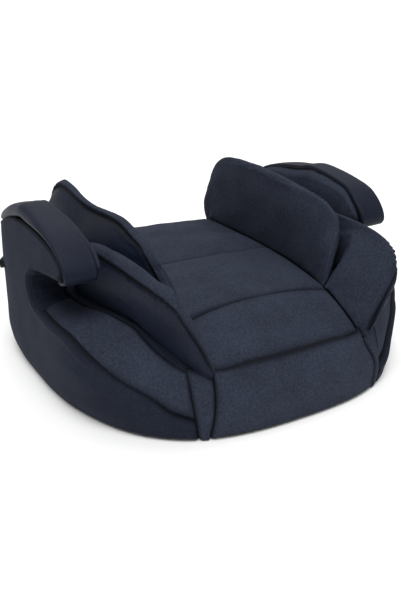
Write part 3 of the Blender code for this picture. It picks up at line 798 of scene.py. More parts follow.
    def inflate(self, piece: bpy.types.Object, pressure: float, limit: float) -> None:
        """Args:
            piece: The piece, which has no parent yet.
            pressure: The pressure inside it.
            limit: The furthest that a point may move, in millimetres.
        """
        mesh = piece.data
        count = len(mesh.vertices)
        held = np.zeros(count, np.float32)
        mesh.attributes[FOLD].data.foreach_get("value", held)
        group = piece.vertex_groups.new(name="held")
        for weight in (0.35, 1.0):
            chosen = np.nonzero(held >= weight * 0.6)[0].tolist()
            group.add(chosen, weight, "REPLACE")
        cloth = piece.modifiers.new("cloth", "CLOTH")
        cloth.settings.quality = 4
        cloth.settings.mass = self.cloth_mass
        cloth.settings.tension_stiffness = self.tension
        cloth.settings.compression_stiffness = self.compression
        cloth.settings.bending_stiffness = self.bending
        cloth.settings.vertex_group_mass = "held"
        cloth.settings.use_pressure = True
        cloth.settings.uniform_pressure_force = pressure
        cloth.settings.effector_weights.gravity = 0.0
        cloth.point_cache.frame_start = 1
        cloth.point_cache.frame_end = self.frames
        scene = bpy.context.scene
        for frame in range(1, self.frames + 1):
            scene.frame_set(frame)
        filled = piece.evaluated_get(bpy.context.evaluated_depsgraph_get()).data
        before, after = np.zeros(count * 3), np.zeros(count * 3)
        mesh.vertices.foreach_get("co", before)
        filled.vertices.foreach_get("co", after)
        before, move = before.reshape(-1, 3), (after - before).reshape(-1, 3)
        length = np.linalg.norm(move, axis=1, keepdims=True).clip(1e-9)
        move = np.nan_to_num(move) * np.minimum(1.0, limit * MM / length)
        piece.modifiers.remove(cloth)
        piece.vertex_groups.remove(group)
        mesh.vertices.foreach_set("co", (before + move).ravel())
        mesh.update()
        scene.frame_set(1)
        furthest = float(np.linalg.norm(move, axis=1).max()) / MM
        LOG.info("%s filled: moved up to %.1f mm", piece.name, furthest)

    def dress(self, node: bpy.types.Object, cloth: Cloth) -> None:
        """Gives a carried-over node of the frame its finish.

        Args:
            node: The node.
            cloth: Its finish.
        """
        node.data.materials.clear()
        node.data.materials.append(self.finishes[cloth])


# --- The seat's shape -------------------------------------------------------------------------------------


@dataclass
class SeatShape:
    """The surfaces and seam lines that the cover follows, sized from the frame."""

    half_width: float
    half_depth: float
    arm_top: float
    deck: float
    arm_inner: float
    front_squareness: float = 2.7
    rear_squareness: float = 4.0
    arm_squareness: float = 4.2
    side_tuck: float = 13.0
    belly: float = 11.0
    toe_in: float = 6.0
    side_tuck_height: float = 45.0
    front_tuck: float = 1.0
    front_tuck_height: float = 20.0
    front_lean: float = 20.0
    front_drop: float = 37.0
    rear_roll: float = 14.0
    crown: float = 3.5
    cover_low: float = 2.0
    inner_corner: float = 101.0
    outer_corner: float = 126.0
    rear_corner: float = 166.0
    belly_y: float = -112.0
    belly_length: float = 68.0
    nose_back: float = 7.0
    rear_rise: float = 13.0
    fall_start: float = -112.0
    fall_power: float = 1.35
    crown_half: float = 125.0
    tables: dict = field(default_factory=dict)

    @classmethod
    def from_frame(cls) -> "SeatShape":
        """Reads the overall sizes off the frame's nodes.

        Returns:
            The seat's shape.
        """
        low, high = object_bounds()
        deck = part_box("seat_panel_middle")[1].z
        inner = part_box("arm_inner_cover_right")[0].x
        return cls(high.x / MM, (high.y - low.y) / 2 / MM, high.z / MM, deck / MM, inner / MM)

    def __post_init__(self) -> None:
        """Tabulates the plan outline along its length, from the middle of the front to that of the rear."""
        turn = np.linspace(0.0, math.pi, 4001)
        power = 2 / np.where(turn < math.pi / 2, self.front_squareness, self.rear_squareness)
        across = np.abs(np.sin(turn)) ** power
        along = -np.sign(np.cos(turn)) * np.abs(np.cos(turn)) ** power
        across[0] = across[-1] = 0.0
        outline = np.stack([across * self.half_width, along * self.half_depth], axis=1)
        self.tables = {"arc": travelled(outline), "across": across, "along": along, "half": len(turn) // 2}

    @property
    def rear_middle(self) -> float:
        """The distance along the outline from the middle of the front to the middle of the rear."""
        return float(self.tables["arc"][-1])

    def reach(self, z: Array) -> tuple[Array, Array, Array]:
        """How far the outside reaches to the side, the front and the rear.

        Args:
            z: Heights.

        Returns:
            The three reaches at each height.
        """
        tuck = 1 - np.sqrt(1 - np.clip(1 - z / self.side_tuck_height, 0.0, 1.0) ** 2)
        toe = 1 - np.sqrt(1 - np.clip(1 - z / self.front_tuck_height, 0.0, 1.0) ** 2)
        top = self.deck - self.front_drop
        share = np.clip((z - self.front_tuck_height) / (top - self.front_tuck_height), 0.0, 1.0)
        above = np.clip((z - top) / self.front_drop, 0.0, 1.0)
        side = self.half_width - self.side_tuck * tuck
        front = self.half_depth - self.front_lean * share**1.5 * (1 - above) - self.front_tuck * toe
        rear = self.half_depth - self.side_tuck * tuck / 2
        return side, front, rear

    def wall(self, arc: Array, z: Array) -> Array:
        """Points of the outside.

        Args:
            arc: Distances along the outline from the middle of the front; less than 0 is the left half.
            z: Heights.

        Returns:
            The points.
        """
        arc, z = np.broadcast_arrays(np.asarray(arc, float), np.asarray(z, float))
        length = self.rear_middle
        hand = np.where((arc < 0) | (arc > length), -1.0, 1.0)
        folded = np.abs(arc)
        folded = np.where(folded > length, 2 * length - folded, folded)
        across = np.interp(folded, self.tables["arc"], self.tables["across"])
        along = np.interp(folded, self.tables["arc"], self.tables["along"])
        side, front, rear = self.reach(z)
        x = side * across
        y = along * np.where(along < 0, front, rear)
        straight = self.half_width * (1 - np.clip(-y / self.half_depth, 0, 1) ** self.arm_squareness) ** (
            1 / self.arm_squareness
        )
        x = x + (straight - x) * ease(z, self.deck + 8, self.deck + 48) * (y < 0)
        swell = self.belly * ease(z, 28, 72) * (1 - ease(z, 112, 150)) - self.toe_in * (1 - ease(z, 0, 34))
        beside = ease(across * self.half_width, self.outer_corner - 8, self.outer_corner + 40)
        swell = swell * bell(y, self.belly_y, self.belly_length) * beside
        x = x + swell * 0.8
        y = y - swell * 0.6
        return np.stack([hand * x, y, z], axis=-1)

    def arc_at_y(self, y: Array, z: Array) -> Array:
        """The distance along the outline at which the outside has this y, on the right.

        Args:
            y: The y of each point.
            z: Its height.

        Returns:
            A distance for each point.
        """
        _, front, rear = self.reach(z)
        return np.interp(y / np.where(y < 0, front, rear), self.tables["along"], self.tables["arc"])

    def arc_at_x(self, x: float, ahead: bool = True) -> float:
        """The distance along the outline to this x.

        Args:
            x: The distance from the middle plane.
            ahead: Whether it is the point at the front, or else at the rear.

        Returns:
            The distance along the outline.
        """
        half = self.tables["half"]
        part = slice(None, half) if ahead else slice(None, half - 1, -1)
        return float(np.interp(x / self.half_width, self.tables["across"][part], self.tables["arc"][part]))

    def edge_y(self, x: Array, ahead: bool = True) -> Array:
        """The y of the seat top's edge.

        Args:
            x: Distances from the middle plane.
            ahead: Whether it is the front edge, or else the rear one.

        Returns:
            The y at each x.
        """
        side, front, rear = self.reach(np.asarray(self.deck - self.front_drop))
        squareness = self.front_squareness if ahead else self.rear_squareness
        along = np.clip(1 - (np.abs(x) / side) ** squareness, 0.0, 1.0) ** (1 / squareness)
        return -(front - 1) * along if ahead else (rear - 1) * along

    def front_seam_z(self, x: Array) -> Array:
        """The height of the seam along the seat's front edge."""
        knots = smooth([(0, 73), (50, 73), (86, 72), (104, 73), (128, 76), (160, 78)], 6)
        return np.interp(np.abs(x), knots[:, 0], knots[:, 1])

    def hang(self, grid: Array, side: Side) -> Array:
        """Moves an arm's points to how that arm hangs: the right one is higher behind, its nose further back.

        Args:
            grid: The points.
            side: The half they are on.

        Returns:
            The moved points.
        """
        if side is Side.LEFT:
            return grid
        moved = grid.copy()
        above = ease(grid[..., 2], self.deck + 30, self.deck + 52)
        moved[..., 1] += self.nose_back * ease(-grid[..., 1], 40, 88) * above
        moved[..., 2] += self.rear_rise * ease(grid[..., 1], 45, 135) * above
        return moved

    def top(self, x: Array, y: Array) -> Array:
        """The height of the seat's top: level, falling to the front and rolling off at the rear.

        Args:
            x: The x of each point.
            y: Its y.

        Returns:
            A height for each point.
        """
        start = self.fall_start
        fall = np.clip((start - y) / (start - self.edge_y(x)), 0.0, 1.2)
        roll = np.clip((y - self.half_depth + 2 * self.rear_roll) / (2 * self.rear_roll), 0.0, 1.0)
        crown = self.crown * np.clip(1 - (x / self.crown_half) ** 2, 0.0, 1.0) * np.clip(1 - fall, 0.0, 1.0)
        level = self.deck - (self.deck - self.front_seam_z(x)) * fall**self.fall_power
        return level + crown - self.rear_roll * (1 - np.sqrt(1 - roll**2))

    def cushion_x(self, y: Array) -> Array:
        """Half the width of the seat cushion, where the feet of the wings cross it.

        Args:
            y: Where along the seat.

        Returns:
            Half the width at each y.
        """
        points = [(-195, 101), (-155, 100), (-117, 99), (-50, 114), (20, 126), (85, 131), (215, 134)]
        knots = smooth(points, 6)
        return np.interp(y, knots[:, 0], knots[:, 1])

    def shoulder(self, shares: Array) -> Array:
        """The seam along the insert's upper edge, from the slot to the corner.

        Args:
            shares: Values from 0 to 1.

        Returns:
            A point for each share of the seam's length.
        """
        inner = self.arm_inner
        plan = smooth(
            [
                (inner - 1, -2),
                (inner - 4, -39),
                (inner - 17, -74),
                (inner - 24, -107),
                (inner - 32, -141),
                (inner - 42, -162),
                (self.outer_corner, -179),
            ]
        )
        path = np.column_stack([plan, self.top(plan[:, 0], plan[:, 1]) - 1])
        return resample(path, shares)

    def belt_knots(self) -> list[tuple[float, float]]:
        """The belt line from the front corner to the slot, as (y, z)."""
        low = [(-183, 34), (-169, 49), (-147, 65), (-129, 79)]
        return low + [(-108, 95), (-85, 105), (-42, 105), (-11, 106)]

    def slot_knots(self) -> list[tuple[float, float]]:
        """The belt slot's edge from its floor round its end to the nose.

        Returns:
            Its points as (y, z).
        """
        return [
            (5, 111),
            (11, 117),
            (14, 122),
            (15, 128),
            (14, 133),
            (11, 138),
            (4, 143),
            (-6, 149),
            (-24, 152),
            (-40, 154),
            (-58, 156),
            (-74, 158),
            (-84, 161),
        ]

    def crown_path(self) -> Array:
        """The arm's top from the foot of its back, over the nose and under it.

        Returns:
            The curve's points as (y, z).
        """
        top = self.arm_top
        return smooth(
            [
                (176, self.deck - 4),
                (175, self.deck + 16),
                (173, top - 72),
                (167, top - 56),
                (154, top - 43),
                (136, top - 34),
                (84, top - 13),
                (50, top - 4),
                (28, top),
                (-10, top - 4),
                (-50, top - 13),
                (-76, top - 25),
                (-90, top - 38),
                (-95, top - 50),
                (-90, top - 58),
                (-76, top - 61),
            ],
            8,
        )


# --- The cover --------------------------------------------------------------------------------------------


@dataclass
class SeatCushion:
    """The seat's top: foam under three crowned panels sewn across it."""

    shape: SeatShape
    middle_seam: float = -115.0
    middle_bow: float = 10.0
    rear_seam: float = 35.0
    foam_gap: float = 15.0
    foam_thick: float = 22.0
    pressure: float = 4.0
    most_fill: float = 2.5
    nominal_width: float = 240.0

    def seam_y(self, x: Array, seam: str) -> Array:
        """The y of one of the seams across the top.

        Args:
            x: Distances from the middle plane.
            seam: Which seam: front, middle, rear or back.

        Returns:
            The y at each x.
        """
        lines = {
            "front": lambda: self.shape.edge_y(x),
            "middle": lambda: self.middle_seam - self.middle_bow * (x / 90) ** 2,
            "rear": lambda: self.rear_seam + 0 * x,
            "back": lambda: self.shape.edge_y(x, ahead=False),
        }
        return lines[seam]()

    def grid(self, start: str, stop: str, inset: float = 0.0) -> Array:
        """The top's points between two seams.

        Args:
            start: The seam at the front of the panel.
            stop: The seam at its rear.
            inset: How far its sides are drawn in.

        Returns:
            A grid with a row for each step to the rear.
        """
        length = float(self.seam_y(np.array(0.0), stop) - self.seam_y(np.array(0.0), start))
        u = spaced(length)[:, None]
        v = spaced(self.nominal_width, COARSE)[None, :] * 2 - 1
        y = self.seam_y(np.array(0.0), start) + length * u + 0 * v
        for _ in range(4):
            x = (self.shape.cushion_x(y) - inset) * v
            y = self.seam_y(x, start) * (1 - u) + self.seam_y(x, stop) * u
        return np.stack([x, y, self.shape.top(x, y)], axis=2)

    def build(self, shop: Workshop) -> list[bpy.types.Object]:
        """Builds the foam and the three panels.

        Args:
            shop: What makes the pieces.

        Returns:
            The pieces.
        """
        sewn = (Seam.SOFT, Seam.STITCHED, Seam.TUCKED, Seam.TUCKED)
        panels = []
        for place, start, stop, puff, seed in (
            ("front", "front", "middle", 2.5, 3),
            ("middle", "middle", "rear", 3.5, 4),
            ("rear", "rear", "back", 3.0, 5),
        ):
            grid = self.grid(start, stop)
            name = f"seat_cover_{place}"
            panels.append(shop.panel(name, grid, (0, 0, 1), sewn, Cloth.CHARCOAL, puff=puff, seed=seed))
        top = self.grid("front", "back", 4.0)[4:-4, 4:-4]
        high = top - np.array([0, 0, self.foam_gap])
        low = high - np.array([0, 0, self.foam_thick])
        flat = np.zeros(top.shape[:2])
        foam = shop.slab("seat_foam_block", high, low, top[..., :2], flat, Cloth.FOAM, Side.RIGHT)
        for panel in panels:
            shop.inflate(panel, self.pressure, self.most_fill)
        nodes = ("seat_panel_front", "seat_panel_middle", "seat_panel_rear", "seat_foam")
        for made, node in zip((*panels, foam), nodes):
            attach(made, "seat")
            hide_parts(node)
        return [*panels, foam]


@dataclass
class WallPanels:
    """The upright panels across the front and the rear, and the strips at the front corners."""

    shape: SeatShape
    strip_taper: float = 15.0
    taper_height: float = 62.0
    right_bow: float = 9.0
    bow_height: float = 36.0
    bow_width: float = 18.0
    front_edge: float = 70.0
    nominal_height: float = 75.0

    def band(self, start: float, stop: float, top: float | None = None) -> Array:
        """The outside between two distances along the outline.

        Args:
            start: Where the band starts.
            stop: Where it ends.
            top: How far its upper edge is below the seat's top, or nothing for the front seam.

        Returns:
            A grid with a row for each step along the outline.
        """
        shape = self.shape
        arc = start + (stop - start) * spaced(abs(stop - start), COARSE)
        if top is None:
            x = shape.wall(arc, np.full(arc.shape, self.front_edge))[:, 0]
            top = shape.front_seam_z(x)
        elif top < 0:
            edge = shape.wall(arc, np.full(arc.shape, shape.deck))
            top = shape.top(edge[:, 0], edge[:, 1]) + top
        v = spaced(self.nominal_height)[None, :]
        z = shape.cover_low + (np.asarray(top).reshape(-1, 1) - shape.cover_low) * v + 0 * arc[:, None]
        arc = arc[:, None] + 0 * z
        inner = shape.arc_at_x(shape.inner_corner)
        outer = shape.arc_at_x(shape.outer_corner)
        folded = np.abs(arc)
        widest = np.where(folded > inner, (outer - folded) / (outer - inner), folded / inner)
        taper = self.strip_taper * np.clip(1 - z / self.taper_height, 0, 1) ** 1.5
        shift = taper + self.right_bow * bell(z, self.bow_height, self.bow_width) * (arc > 0)
        shift = shift * np.clip(widest, 0, 1)
        return shape.wall(arc + np.sign(arc) * np.where(folded < outer, shift, 0.0), z)

    def build(self, shop: Workshop) -> list[bpy.types.Object]:
        """Builds the panels and strips.

        Args:
            shop: What makes the pieces.

        Returns:
            The pieces.
        """
        shape = self.shape
        inner = shape.arc_at_x(shape.inner_corner)
        outer = shape.arc_at_x(shape.outer_corner)
        rear = shape.arc_at_x(shape.rear_corner, ahead=False)
        crisp = (Seam.CRISP, Seam.CRISP, Seam.CRISP, Seam.CRISP)
        band = self.band(-inner, inner)
        front = shop.panel("front_cover", band, (0, -1, 0), crisp, Cloth.CHARCOAL, puff=2.0, seed=7)
        back = shop.panel(
            "rear_cover",
            self.band(rear, 2 * shape.rear_middle - rear, -1.0),
            (0, 1, 0),
            crisp,
            Cloth.NAVY,
            puff=1.5,
            seed=8,
        )
        made = [front, back]
        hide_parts("front_panel")
        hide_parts("rear_panel")
        for side in Side:
            band = self.band(side.value * inner, side.value * outer) * np.array([side.value, 1, 1])
            strip = shop.panel(
                f"corner_band_{side.label}",
                band,
                (0.5, -1, 0),
                (Seam.CRISP, Seam.CRISP, Seam.FREE, Seam.CRISP),
                Cloth.CHARCOAL,
                side,
                puff=0.8,
                ripple=0.2,
                seed=9,
            )
            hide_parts(f"corner_strip_{side.label}")
            made.append(strip)
        for piece in made:
            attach(piece, "seat")
        return made


@dataclass
class SideCover:
    """One side of the cover: the outer panel, the sewn-in insert, the channel pad and the slot's lining."""

    shape: SeatShape
    puff: float = 2.0
    insert_foot: float = 24.0
    lining_width: float = 40.0

    def outer_path(self) -> tuple[Array, Array]:
        """The outer panel's two boundaries, from the front corner to the nose of the arm.

        Returns:
            The outer and the inner boundary as (arc, z), equally many points in each.
        """
        shape = self.shape
        corner = shape.arc_at_x(shape.outer_corner)
        rear = shape.arc_at_x(shape.rear_corner, ahead=False)
        ledge = shape.deck - 2.0
        low = shape.cover_low

        def at(y: float, z: float) -> tuple[float, float]:
            """A point of the outside as (arc, z)."""
            return (float(shape.arc_at_y(np.array(float(y)), np.array(float(z)))), z)

        outer = [(corner, low)]
        outer += [at(y, low) for y in (-181, -168, -146, -120, -88, -50, 0, 70, 150)]
        outer += [(rear, low), (rear, 60.0), (rear, ledge)]
        outer += [at(y, z) for y, z in ((178, ledge), (174, 138), (160, 158), (77, 190))]
        outer += [at(y, z) for y, z in ((30, 197), (-20, 197), (-60, 191), (-84, 181), (-90, 168))]
        inner = [(corner, self.insert_foot)] + [at(y, z) for y, z in shape.belt_knots()]
        inner += [at(y, z) for y, z in shape.slot_knots()]
        steps = 9
        curve, straight = smooth(outer, steps), []
        for a, b in zip(outer, outer[1:]):
            straight += [np.array(a) + (np.array(b) - np.array(a)) * i / steps for i in range(steps)]
        straight = np.array(straight + [outer[-1]])
        keep = (np.arange(len(curve)) > 13 * steps)[:, None]
        return np.where(keep, curve, straight), smooth(inner, steps)

    def outer_grid(self) -> Array:
        """The outer panel's points.

        Returns:
            A grid from the lower edge to the insert and the slot.
        """
        outer, inner = self.outer_path()
        plan = ruled(outer, inner, spaced(100.0))
        return self.shape.wall(plan[..., 0], plan[..., 1])

    def insert_grid(self) -> Array:
        """The insert's points.

        Returns:
            A grid from its upper seam to the belt line.
        """
        shape = self.shape
        shares = spaced(230.0)
        corner = shape.wall(shape.arc_at_x(shape.outer_corner), self.insert_foot)
        line = smooth(shape.belt_knots()[::-1])
        arc = shape.arc_at_y(line[:, 0], line[:, 1])
        low = np.vstack([shape.wall(arc, line[:, 1]), corner])
        return ruled(shape.shoulder(shares), resample(low, shares), spaced(60.0, 2.4))

    def channel_grid(self) -> Array:
        """The channel pad's points, beside the cushion, under the wings.

        Returns:
            A grid from the cushion's edge to the arm's foot.
        """
        shape = self.shape
        shares = spaced(400.0, COARSE)
        beside = shape.shoulder(np.linspace(0, 1, 60))[::-1, :2]
        straight = [(shape.arm_inner - 1, y) for y in (20, 60, 100, 140, 168)]
        behind = (188.0, 182.0, 174.0, shape.rear_corner)
        round_back = [(x, float(shape.edge_y(np.array(x), ahead=False)) - 0.5) for x in behind]
        outer = np.vstack([beside, straight, [(shape.arm_inner + 1, 173), (188, 176)], round_back])
        y = np.linspace(float(shape.edge_y(np.array(shape.inner_corner))), 207.0, 80)
        inner = np.column_stack([shape.cushion_x(y), y])
        plan = ruled(resample(inner, shares), resample(outer, shares), spaced(50.0, 2.4))
        x, y = plan[..., 0], plan[..., 1]
        return np.stack([x, y, shape.top(x, y) - 1.5], axis=2)

    def lining_grid(self) -> tuple[Array, Array]:
        """The slot lining's points and its gathers.

        Returns:
            A grid that runs round the slot, and the height of the gathers on it.
        """
        shape = self.shape
        edge = smooth([(-19, 105), (-9, 107)] + shape.slot_knots())
        shares = spaced(float(travelled(edge)[-1]), 1.6, 6.0)
        line = resample(edge, shares)
        v = spaced(self.lining_width, 2.0, 6.0)
        x_in = shape.arm_inner + 1.0
        outside = shape.wall(shape.arc_at_y(line[:, 0], line[:, 1]), line[:, 1])[:, 0] - 0.5
        x = x_in + (outside - x_in)[:, None] * v[None, :]
        grid = np.stack([x, line[:, :1] + 0 * x, line[:, 1:] + 0 * x], axis=2)
        along = travelled(line)[:, None] + 0 * x
        lean = (x - x_in) / self.lining_width
        depth = 0.35 + 0.65 * np.sin(math.pi * (0.15 + 0.8 * v))
        gathers = np.zeros(x.shape)
        for middle, width, high, slope in (
            (14, 3.0, 2.6, -6),
            (25, 2.4, 1.8, -9),
            (36, 2.8, 2.4, -5),
            (47, 2.2, 1.6, 4),
            (58, 3.4, 3.0, 8),
            (72, 3.0, 2.0, 12),
            (90, 4.0, 2.2, 10),
        ):
            gathers += high * bell(along, middle + slope * lean, width) * depth
        return grid, gathers

    def build(self, shop: Workshop, side: Side) -> list[bpy.types.Object]:
        """Builds one side's pieces.

        Args:
            shop: What makes the pieces.
            side: The half.

        Returns:
            The pieces.
        """
        label = side.label
        panel = shop.panel(
            f"side_cover_{label}",
            self.shape.hang(self.outer_grid(), side),
            (1, 0, 0),
            (Seam.CRISP, Seam.CRISP, Seam.CRISP, Seam.CURLED),
            Cloth.NAVY,
            side,
            self.puff,
            seed=11,
        )
        insert = shop.panel(
            f"side_inset_{label}",
            self.insert_grid(),
            (0.7, -0.3, 0.8),
            (Seam.CRISP, Seam.CRISP, Seam.CRISP, Seam.SOFT),
            Cloth.CHARCOAL,
            side,
            5.0,
            seed=12,
        )
        channel = shop.panel(
            f"channel_cover_{label}",
            self.channel_grid(),
            (0, 0, 1),
            (Seam.CRISP, Seam.CRISP, Seam.TUCKED, Seam.CRISP),
            Cloth.NAVY,
            side,
            0.5,
            seed=13,
        )
        grid, gathers = self.lining_grid()
        lining = shop.panel(
            f"slot_gathers_{label}",
            grid,
            (0, -1, 0.0),
            (Seam.FREE, Seam.FREE, Seam.CRISP, Seam.CRISP),
            Cloth.NAVY,
            side,
            0.5,
            thick=2.5,
            seed=14,
            relief=gathers,
        )
        nodes = ("side_panel", "side_insert", "side_channel", "slot_lining")
        for made, node in zip((panel, insert, channel, lining), nodes):
            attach(made, "seat")
            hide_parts(f"{node}_{label}")
        return [panel, insert, channel, lining]


@dataclass
class Arm:
    """One arm's cover: the satin strip over its top and nose, and the cover of its inner side."""

    shape: SeatShape
    inner_drop: float = 1.5
    nose_in: float = 4.5

    def inner_x(self, y: Array | float) -> Array:
        """The x of the arm's inner side, which comes in toward the nose."""
        return self.shape.arm_inner - self.nose_in * ease(-y, 40, 84)

    def strip_grid(self) -> Array:
        """The strip's points.

        Returns:
            A grid along the arm's top and across it.
        """
        shape = self.shape
        path = shape.crown_path()
        path = resample(path, spaced(float(travelled(path)[-1]), 2.2, 8.0))
        way = np.gradient(path, axis=0)
        way /= np.linalg.norm(way, axis=1, keepdims=True)
        inward = np.stack([-way[:, 1], way[:, 0]], axis=1)
        inward *= np.where((inward @ np.array([0.0, -1.0])).mean() > 0, 1.0, -1.0)
        at, deep_at = [0, 0.18, 0.35, 0.62, 0.75, 0.86, 1.0], [3, 8, 15, 14, 8, 3.5, 2.5]
        drop = np.interp(travelled(path) / travelled(path)[-1], at, deep_at)
        outside = shape.wall(shape.arc_at_y(path[:, 0], path[:, 1]), np.maximum(path[:, 1], shape.deck))[:, 0]
        rows = []
        for (y, z), inner_way, deep, reach in zip(path, inward, drop, outside):
            inner_x = float(self.inner_x(y))
            width = reach - inner_x
            across = [
                (reach - 0.3, deep),
                (reach - 0.8, deep * 0.55),
                (reach - width * 0.08, deep * 0.22),
                (reach - width * 0.22, deep * 0.05),
                (reach - width * 0.5, 0.0),
                (reach - width * 0.8, 0.4),
                (inner_x + 7.0, 0.8),
                (inner_x + 4.0, self.inner_drop),
            ]
            curve = resample(smooth(across, 6), np.linspace(0, 1, 30))
            x, sunk = curve[:, 0], curve[:, 1]
            rows.append(np.column_stack([x, y + inner_way[0] * sunk, z + inner_way[1] * sunk]))
        return np.array(rows)

    def inner_grid(self) -> Array:
        """The inner side's points.

        Returns:
            A grid from its upper seam to the slot and the channel.
        """
        shape = self.shape
        top = shape.arm_top - self.inner_drop
        upper = smooth(
            [
                (172, 106),
                (170, 138),
                (160, 162),
                (136, top - 33),
                (84, top - 14),
                (28, top - 1),
                (8, top - 2),
                (-10, top - 4),
                (-30, top - 8),
                (-50, top - 13),
                (-66, top - 20),
                (-80, top - 29),
                (-88, top - 38),
                (-91, top - 46),
            ]
        )
        lower = smooth(
            [
                (165, 104),
                (150, 104),
                (135, 104),
                (110, 104),
                (70, 104),
                (24, 106),
                (14, 114),
                (15, 126),
                (13, 136),
                (4, 143),
                (-10, 148),
                (-30, 152),
                (-55, 155),
                (-80, 160),
            ]
        )
        plan = ruled(upper, lower, spaced(80.0))
        share = np.linspace(0, 1, plan.shape[1])[None, :]
        x = self.inner_x(plan[..., 0]) + 4 * (1 - ease(share, 0.0, 0.25))
        return np.concatenate([x[..., None], plan], axis=2)

    def build(self, shop: Workshop, side: Side) -> list[bpy.types.Object]:
        """Builds one arm's pieces.

        Args:
            shop: What makes the pieces.
            side: The half.

        Returns:
            The pieces.
        """
        label = side.label
        strip = shop.panel(
            f"arm_band_{label}",
            self.shape.hang(self.strip_grid(), side),
            (0, -0.3, 1),
            (Seam.FREE, Seam.ROUNDED, Seam.CRISP, Seam.CRISP),
            Cloth.SATIN,
            side,
            1.0,
            thick=4.0,
            ripple=0.15,
            seed=15,
        )
        inner = shop.panel(
            f"arm_side_{label}",
            self.shape.hang(self.inner_grid(), side),
            (-1, 0, 0),
            (Seam.FREE, Seam.PLUMP, Seam.PLUMP, Seam.CRISP),
            Cloth.CHARCOAL,
            side,
            11.0,
            thick=4.0,
            seed=16,
        )
        for made, node in ((strip, f"arm_top_strip_{label}"), (inner, f"arm_inner_cover_{label}")):
            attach(made, "seat")
            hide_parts(node)
        return [strip, inner]


